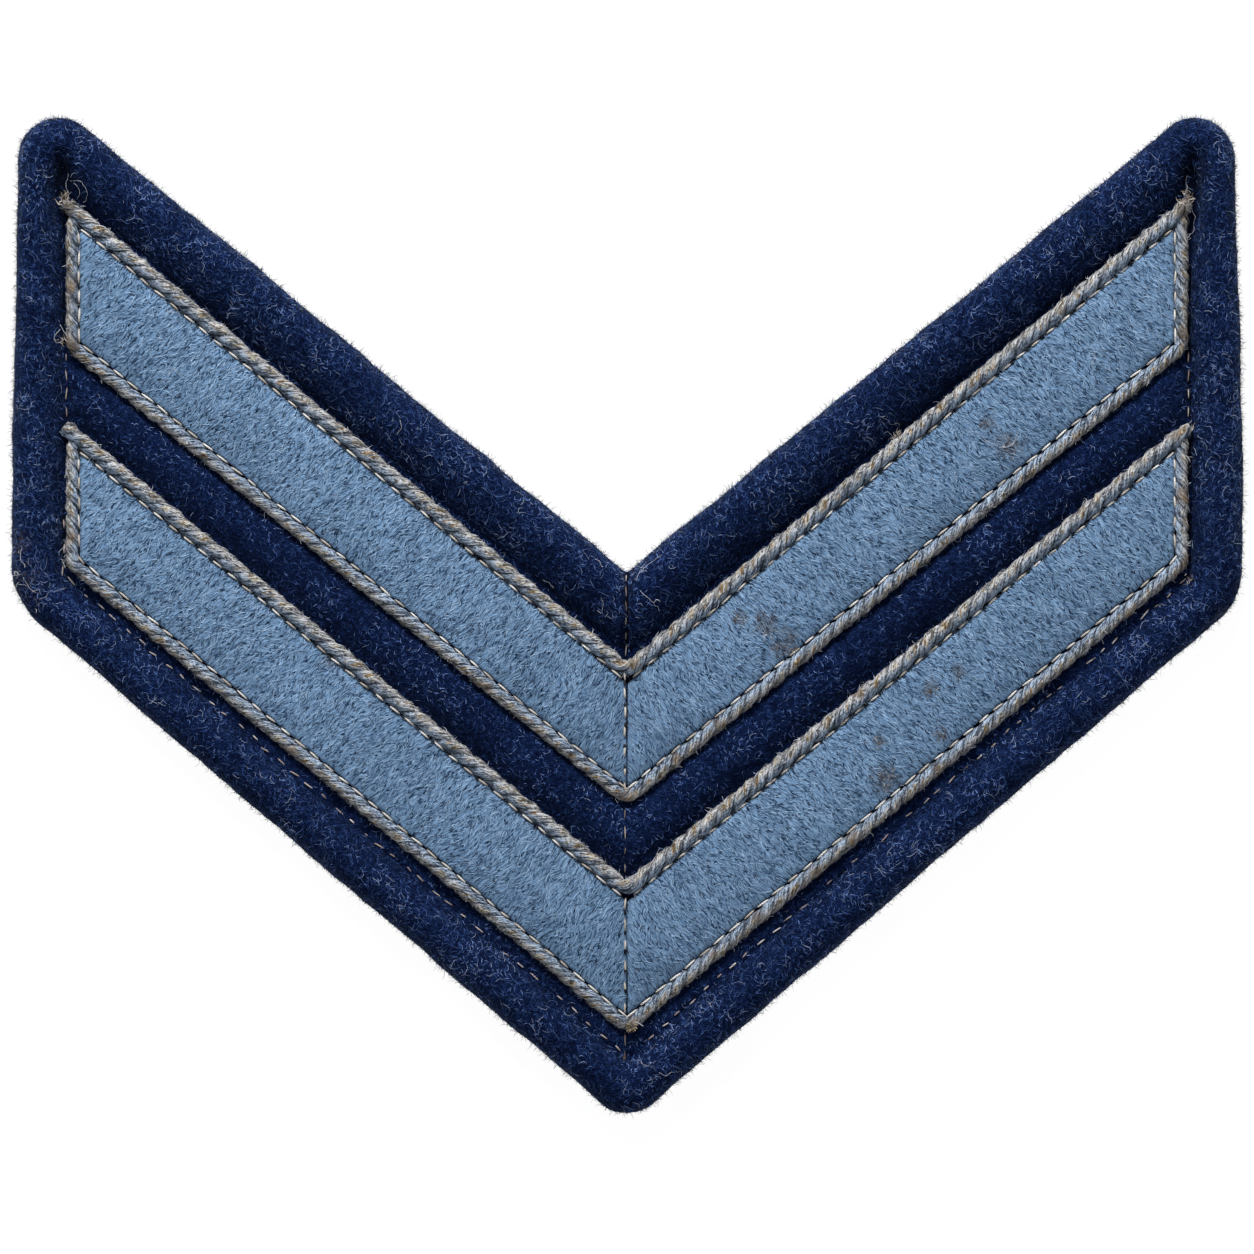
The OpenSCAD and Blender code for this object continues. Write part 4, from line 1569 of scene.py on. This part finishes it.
CORD_SEW = {"Pitch": STITCH_PITCH, "Seed": 5, "Slip": 0.08 * MM}
SEAM_SEW = {"Pitch": 2.1 * MM, "Seed": 25, "Slip": 0.08 * MM}
HOLE = {"Length": 0.55 * MM, "Width": 0.25 * MM, "Height": 0.24 * MM, "Dive": 0.0, "Uneven": 0.3}
stitches = [
    sew("stitches.cords", gutters, cream_thread, {
        **CORD_SEW, "Start": 0.9 * MM, "Length": 1.55 * MM, "Width": 0.26 * MM, "Height": 0.3 * MM,
        "Dive": 0.24 * MM, "Aim": 0.08}),
    sew("stitches.holes", [half[:2] for half in gutters], needle_hole_shade, {
        **CORD_SEW, **HOLE, "Start": 0.9 * MM + STITCH_PITCH / 2}),
    sew("stitches.border", ditches, rosy_thread, {
        "Pitch": 2.0 * MM, "Start": 0.3 * MM, "Length": 1.3 * MM, "Width": 0.19 * MM, "Seed": 15,
        "Height": 0.22 * MM, "Dive": 0.2 * MM, "Slip": 0.3 * MM, "Uneven": 0.35, "Kept": 0.88, "Aim": 0.2}),
    sew("stitches.seam", pale_seams, cream_thread, {
        **SEAM_SEW, "Length": 1.45 * MM, "Width": 0.27 * MM, "Height": 0.3 * MM, "Dive": 0.2 * MM,
        "Aim": 0.1}),
    sew("stitches.seam-holes", pale_seams, needle_hole_shade, {
        **SEAM_SEW, **HOLE, "Start": 1.05 * MM, "Width": 0.34 * MM}),
    sew("stitches.navy-seam", navy_seams, brown_thread, {
        "Pitch": 1.65 * MM, "Length": 1.25 * MM, "Width": 0.15 * MM, "Height": 0.26 * MM, "Dive": 0.08 * MM,
        "Seed": 35, "Slip": 0.06 * MM, "Aim": 0.12, "Uneven": 0.3})]

# %% [markdown]
# ## Frayed ends and loose threads
# The cords are cut at the tips of the upper stripe, and their ends have come apart into tan curls.
# Dust, stains and knots are curls too: each place is a small patch, and the fibre tree grows a tuft
# on it. Single threads have worked loose in other places, and each is drawn through a few points.

# %% Tufts
def tufts(name, rows, tree, material, values):
    """Fibres on small patches: rows of x, y, z and radius in mm, heading in degrees, and density."""
    vertices = []
    faces = []
    hair = []
    lay = []
    for x, y, z, radius, heading, dense in rows:
        first = len(vertices)
        vertices += [((x + radius * math.cos(turn)) * MM, (y + radius * math.sin(turn)) * MM, z * MM)
                     for turn in np.arange(6) * math.pi / 3]
        faces.append([first + i for i in range(6)])
        angle = math.radians(heading)
        hair += [dense] * 6
        lay += [(math.cos(angle), math.sin(angle), 0.0)] * 6
    mesh = bpy.data.meshes.new(name)
    mesh.from_pydata(vertices, [], faces)
    mark(mesh, hair=hair, lay=lay)
    return hairs(name, mesh, tree, material, values)


CORD_TOP = (SEAT_Z + TOP_CORD_D) / MM
FRAYED = [
    (-61.7, 45.8, CORD_TOP - 0.5, 0.45, 105, 26), (-61.3, 45.4, CORD_TOP - 0.2, 0.4, 80, 14),
    (-61.9, 45.3, CORD_TOP - 0.6, 0.35, 130, 12), (61.5, 45.4, CORD_TOP - 0.4, 0.5, 95, 26),
    (61.1, 45.2, CORD_TOP - 0.1, 0.4, 120, 16), (61.6, 46.2, CORD_TOP - 0.3, 0.4, 80, 14),
    (-61.9, 30.3, 3.3, 0.6, 170, 8), (61.8, 4.3, 3.0, 0.6, 300, 6), (29.8, 19.6, 3.7, 0.45, 115, 20),
    (61.7, 20.3, 3.4, 0.5, 80, 5)]
frayed_ends = tufts("tufts.frayed", FRAYED, curls, tan_hair, {
    "Per area": 1.8 / MM ** 2, "Seed": 71, "Shortest": 0.25 * MM, "Longest": 0.95 * MM, "Width": 0.055 * MM,
    "Bend": 2.0, "Sway": 0.12, "Rise": 0.5, "Swirl": 1.0, "Spread": 1.3})
DUST = [
    (-66.2, 4.6, 4.0, 1.3, 120, 1.6), (-66.7, 7.2, 3.8, 1.1, 100, 0.9), (-64.8, 1.6, 4.2, 1.2, 40, 0.6),
    (61.6, 7.8, 3.6, 0.5, 200, 1.5), (-62.1, 5.8, 3.2, 0.5, 250, 1.8), (41.8, 18.7, 3.6, 1.0, 20, 1.0),
    (16.0, -2.0, 3.6, 1.2, 300, 1.0), (29.0, -19.0, 3.6, 1.2, 330, 1.0), (-50.0, 26.6, 3.6, 0.5, 120, 1.6)]
dust = tufts("tufts.dust", DUST, curls, grey_hair, {
    "Per area": 1.6 / MM ** 2, "Seed": 75, "Shortest": 0.3 * MM, "Longest": 1.1 * MM, "Width": 0.038 * MM,
    "Bend": 3.2, "Sway": 0.12, "Rise": 0.15, "Swirl": 1.5, "Spread": 2.5})

stain_rows = [(x, y, lie([(x, y)])[0][2] / MM, radius * 0.8, 60 + 50 * i, 1.0)
              for i, (x, y, radius) in enumerate(STAINS)]
stains = tufts("tufts.stains", stain_rows, curls, stain_hair, {
    "Per area": 8.0 / MM ** 2, "Seed": 81, "Shortest": 0.2 * MM, "Longest": 0.9 * MM, "Width": 0.055 * MM,
    "Bend": 2.6, "Sway": 0.12, "Rise": 0.12, "Swirl": 2.0, "Spread": 3.0})

# %% Loose threads
LOOPS = [
    [(60.3, 42.6), (60.6, 41.9), (61.5, 41.6), (62.3, 42.4), (62.4, 43.9), (62.1, 44.8)],
    [(60.4, 43.0), (60.9, 42.2), (61.9, 41.9)],
    [(-1.2, -7.6), (-0.8, -6.9), (-0.2, -6.5), (0.2, -7.0), (0.35, -7.7)],
    [(-61.2, 47.7), (-60.3, 47.8), (-59.5, 47.0), (-59.3, 46.1), (-59.8, 45.4)],
    [(-60.6, 45.7), (-60.2, 46.6), (-60.6, 47.4), (-61.3, 47.9)],
    [(-61.4, 46.4), (-61.7, 47.5), (-61.4, 48.6)],
    [(61.6, 46.6), (61.5, 47.6), (61.6, 48.4)],
    [(-62.4, 31.5), (-62.9, 30.8), (-62.8, 30.0), (-62.2, 30.1), (-61.9, 30.6)],
    [(-61.6, 30.9), (-62.3, 31.9), (-62.5, 32.6)],
    [(-61.9, 7.6), (-62.5, 7.0), (-62.2, 6.2), (-61.3, 6.4)],
    [(1.4, 2.8), (2.1, 2.2), (2.9, 1.4), (3.7, 0.4)],
    [(2.9, 1.4), (3.3, 1.8), (3.7, 1.6)],
    [(0.9, 4.0), (1.9, 5.2), (2.8, 6.0), (3.7, 6.6)],
    [(-2.9, 1.9), (-2.6, 1.1), (-2.9, 0.3), (-3.3, 0.5)],
    [(-9.2, 4.0), (-8.6, 3.6), (-8.0, 3.0)],
    [(-3.5, 6.2), (-3.0, 5.9), (-2.7, 5.3)],
    [(29.6, 20.1), (30.1, 20.6), (29.9, 21.1), (29.4, 21.1)],
    [(29.2, 19.8), (28.6, 20.2), (28.2, 19.9)],
    [(1.5, -49.0), (2.1, -49.4), (2.6, -49.0)],
    [(3.5, -50.2), (4.2, -50.5), (4.9, -50.1)],
    [(-66.4, 7.6), (-66.6, 6.4), (-66.0, 5.2)],
    [(-66.2, 4.2), (-65.7, 3.1), (-65.0, 2.5)],
    [(38.6, 20.0), (40.1, 18.9), (41.9, 18.6), (42.9, 19.4)],
    [(40.9, 18.4), (42.3, 18.9), (43.0, 20.2)],
    [(50.9, 27.5), (51.4, 28.4), (51.2, 29.2)],
    [(-50.5, 33.0), (-49.8, 33.6), (-49.2, 33.1)],
    [(-25.2, 19.9), (-24.7, 20.8), (-24.9, 21.5)]]
loops = route_mesh("loops", [lie(loop) for loop in LOOPS])
threads = put("threads.loose", grow("loose threads", loops, thread, {
    "Radius": 0.02 * MM, "Seed": 91, "Material": grey_hair}))
KNOTS = [(-0.35, -48.5, 2.5, 0.12, 90, 60), (0.4, -45.1, 3.4, 0.6, 250, 22), (0.7, -5.3, 3.75, 0.35, 300, 22)]
knot = tufts("threads.knot", KNOTS, curls, ochre_hair, {
    "Per area": 3.0 / MM ** 2, "Seed": 95, "Shortest": 0.15 * MM, "Longest": 0.4 * MM, "Width": 0.08 * MM,
    "Bend": 4.5, "Sway": 0.1, "Rise": 0.6, "Spread": 3.1})

# %% [markdown]
# ## Floor and light
# A plain floor fills the frame, lit from within like a light table, so that it is just white and the
# thin hairs along the outline show against it. One large soft lamp stands beyond the upper edge, a
# little to the left, so that the border's upper slopes shine and its lower slopes fall into shade.

# %% Floor and lamps
FLOOR_HALF = 0.6
FLOOR_Z = -0.05 * MM
FLOOR_GLOW = 0.96
SKY = (0.9, 0.95, 1.0, 1.0)
SKY_GLOW = 0.32

board = Paint("floor", roughness=0.9, sheen=0.0, specular=0.1)
grain = board.noise(board.in_mm(), 0.06, 3.0)["Fac"].smooth(0.3, 0.7)
board.coloured(board.mix(grain, (0.07, 0.07, 0.07), (0.1, 0.1, 0.1)))
board.feed(board.shader.inputs["Emission Color"], (1.0, 1.0, 1.0))
board.shader.inputs["Emission Strength"].default_value = FLOOR_GLOW
corners = [(x * FLOOR_HALF, y * FLOOR_HALF, FLOOR_Z) for x, y in ((-1, -1), (1, -1), (1, 1), (-1, 1))]
floor = put("floor", new_mesh("floor", corners, [(0, 1, 2, 3)]), board.material)


def lamp(name, place, size, power):
    """A square area lamp that faces the insignia."""
    data = bpy.data.lights.new(name, "AREA")
    data.size = size
    data.energy = power
    holder = bpy.data.objects.new(name, data)
    holder.location = place
    holder.rotation_euler = (-Vector(place)).to_track_quat("-Z", "Y").to_euler()
    scene.collection.objects.link(holder)


lamp("key lamp", (-0.1, 0.603, 0.374), 0.24, 7.45)
lamp("fill lamp", (0.3, -0.5, 0.7), 0.6, 0.7)
world = bpy.data.worlds.new("studio")
world.use_nodes = True
background = world.node_tree.nodes["Background"]
background.inputs["Color"].default_value = SKY
background.inputs["Strength"].default_value = SKY_GLOW
scene.world = world
scene.view_settings.view_transform = "Standard"

# %% [markdown]
# ## Fastening the pieces
# Each piece now rides on the one body, and each main piece stands for its CAD solid, which is hidden.

def belongs(piece, slot, *nodes):
    """Fastens a piece to the body and lets it stand for CAD solids, which it hides. The slot is not used."""
    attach(piece, "root")
    if nodes:
        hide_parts(*nodes)


belongs(border, "border_felt", "border_roll")
belongs(ground, "ground_felt", "ground")
for piece in border_hairs:
    belongs(piece, "border_felt")
for piece in ground_hairs:
    belongs(piece, "ground_felt")
for node, arm in arms.items():
    belongs(arm, "stripe_felt", node)
    for piece in naps[node]:
        belongs(piece, "stripe_felt")
for node in cords:
    belongs(cords[node], "cord", node)
    belongs(cord_trims[node], "cord")
for piece in [*cord_fuzz, *stitches, frayed_ends, dust, threads, knot]:
    belongs(piece, "cord")
belongs(stains, "stripe_felt")
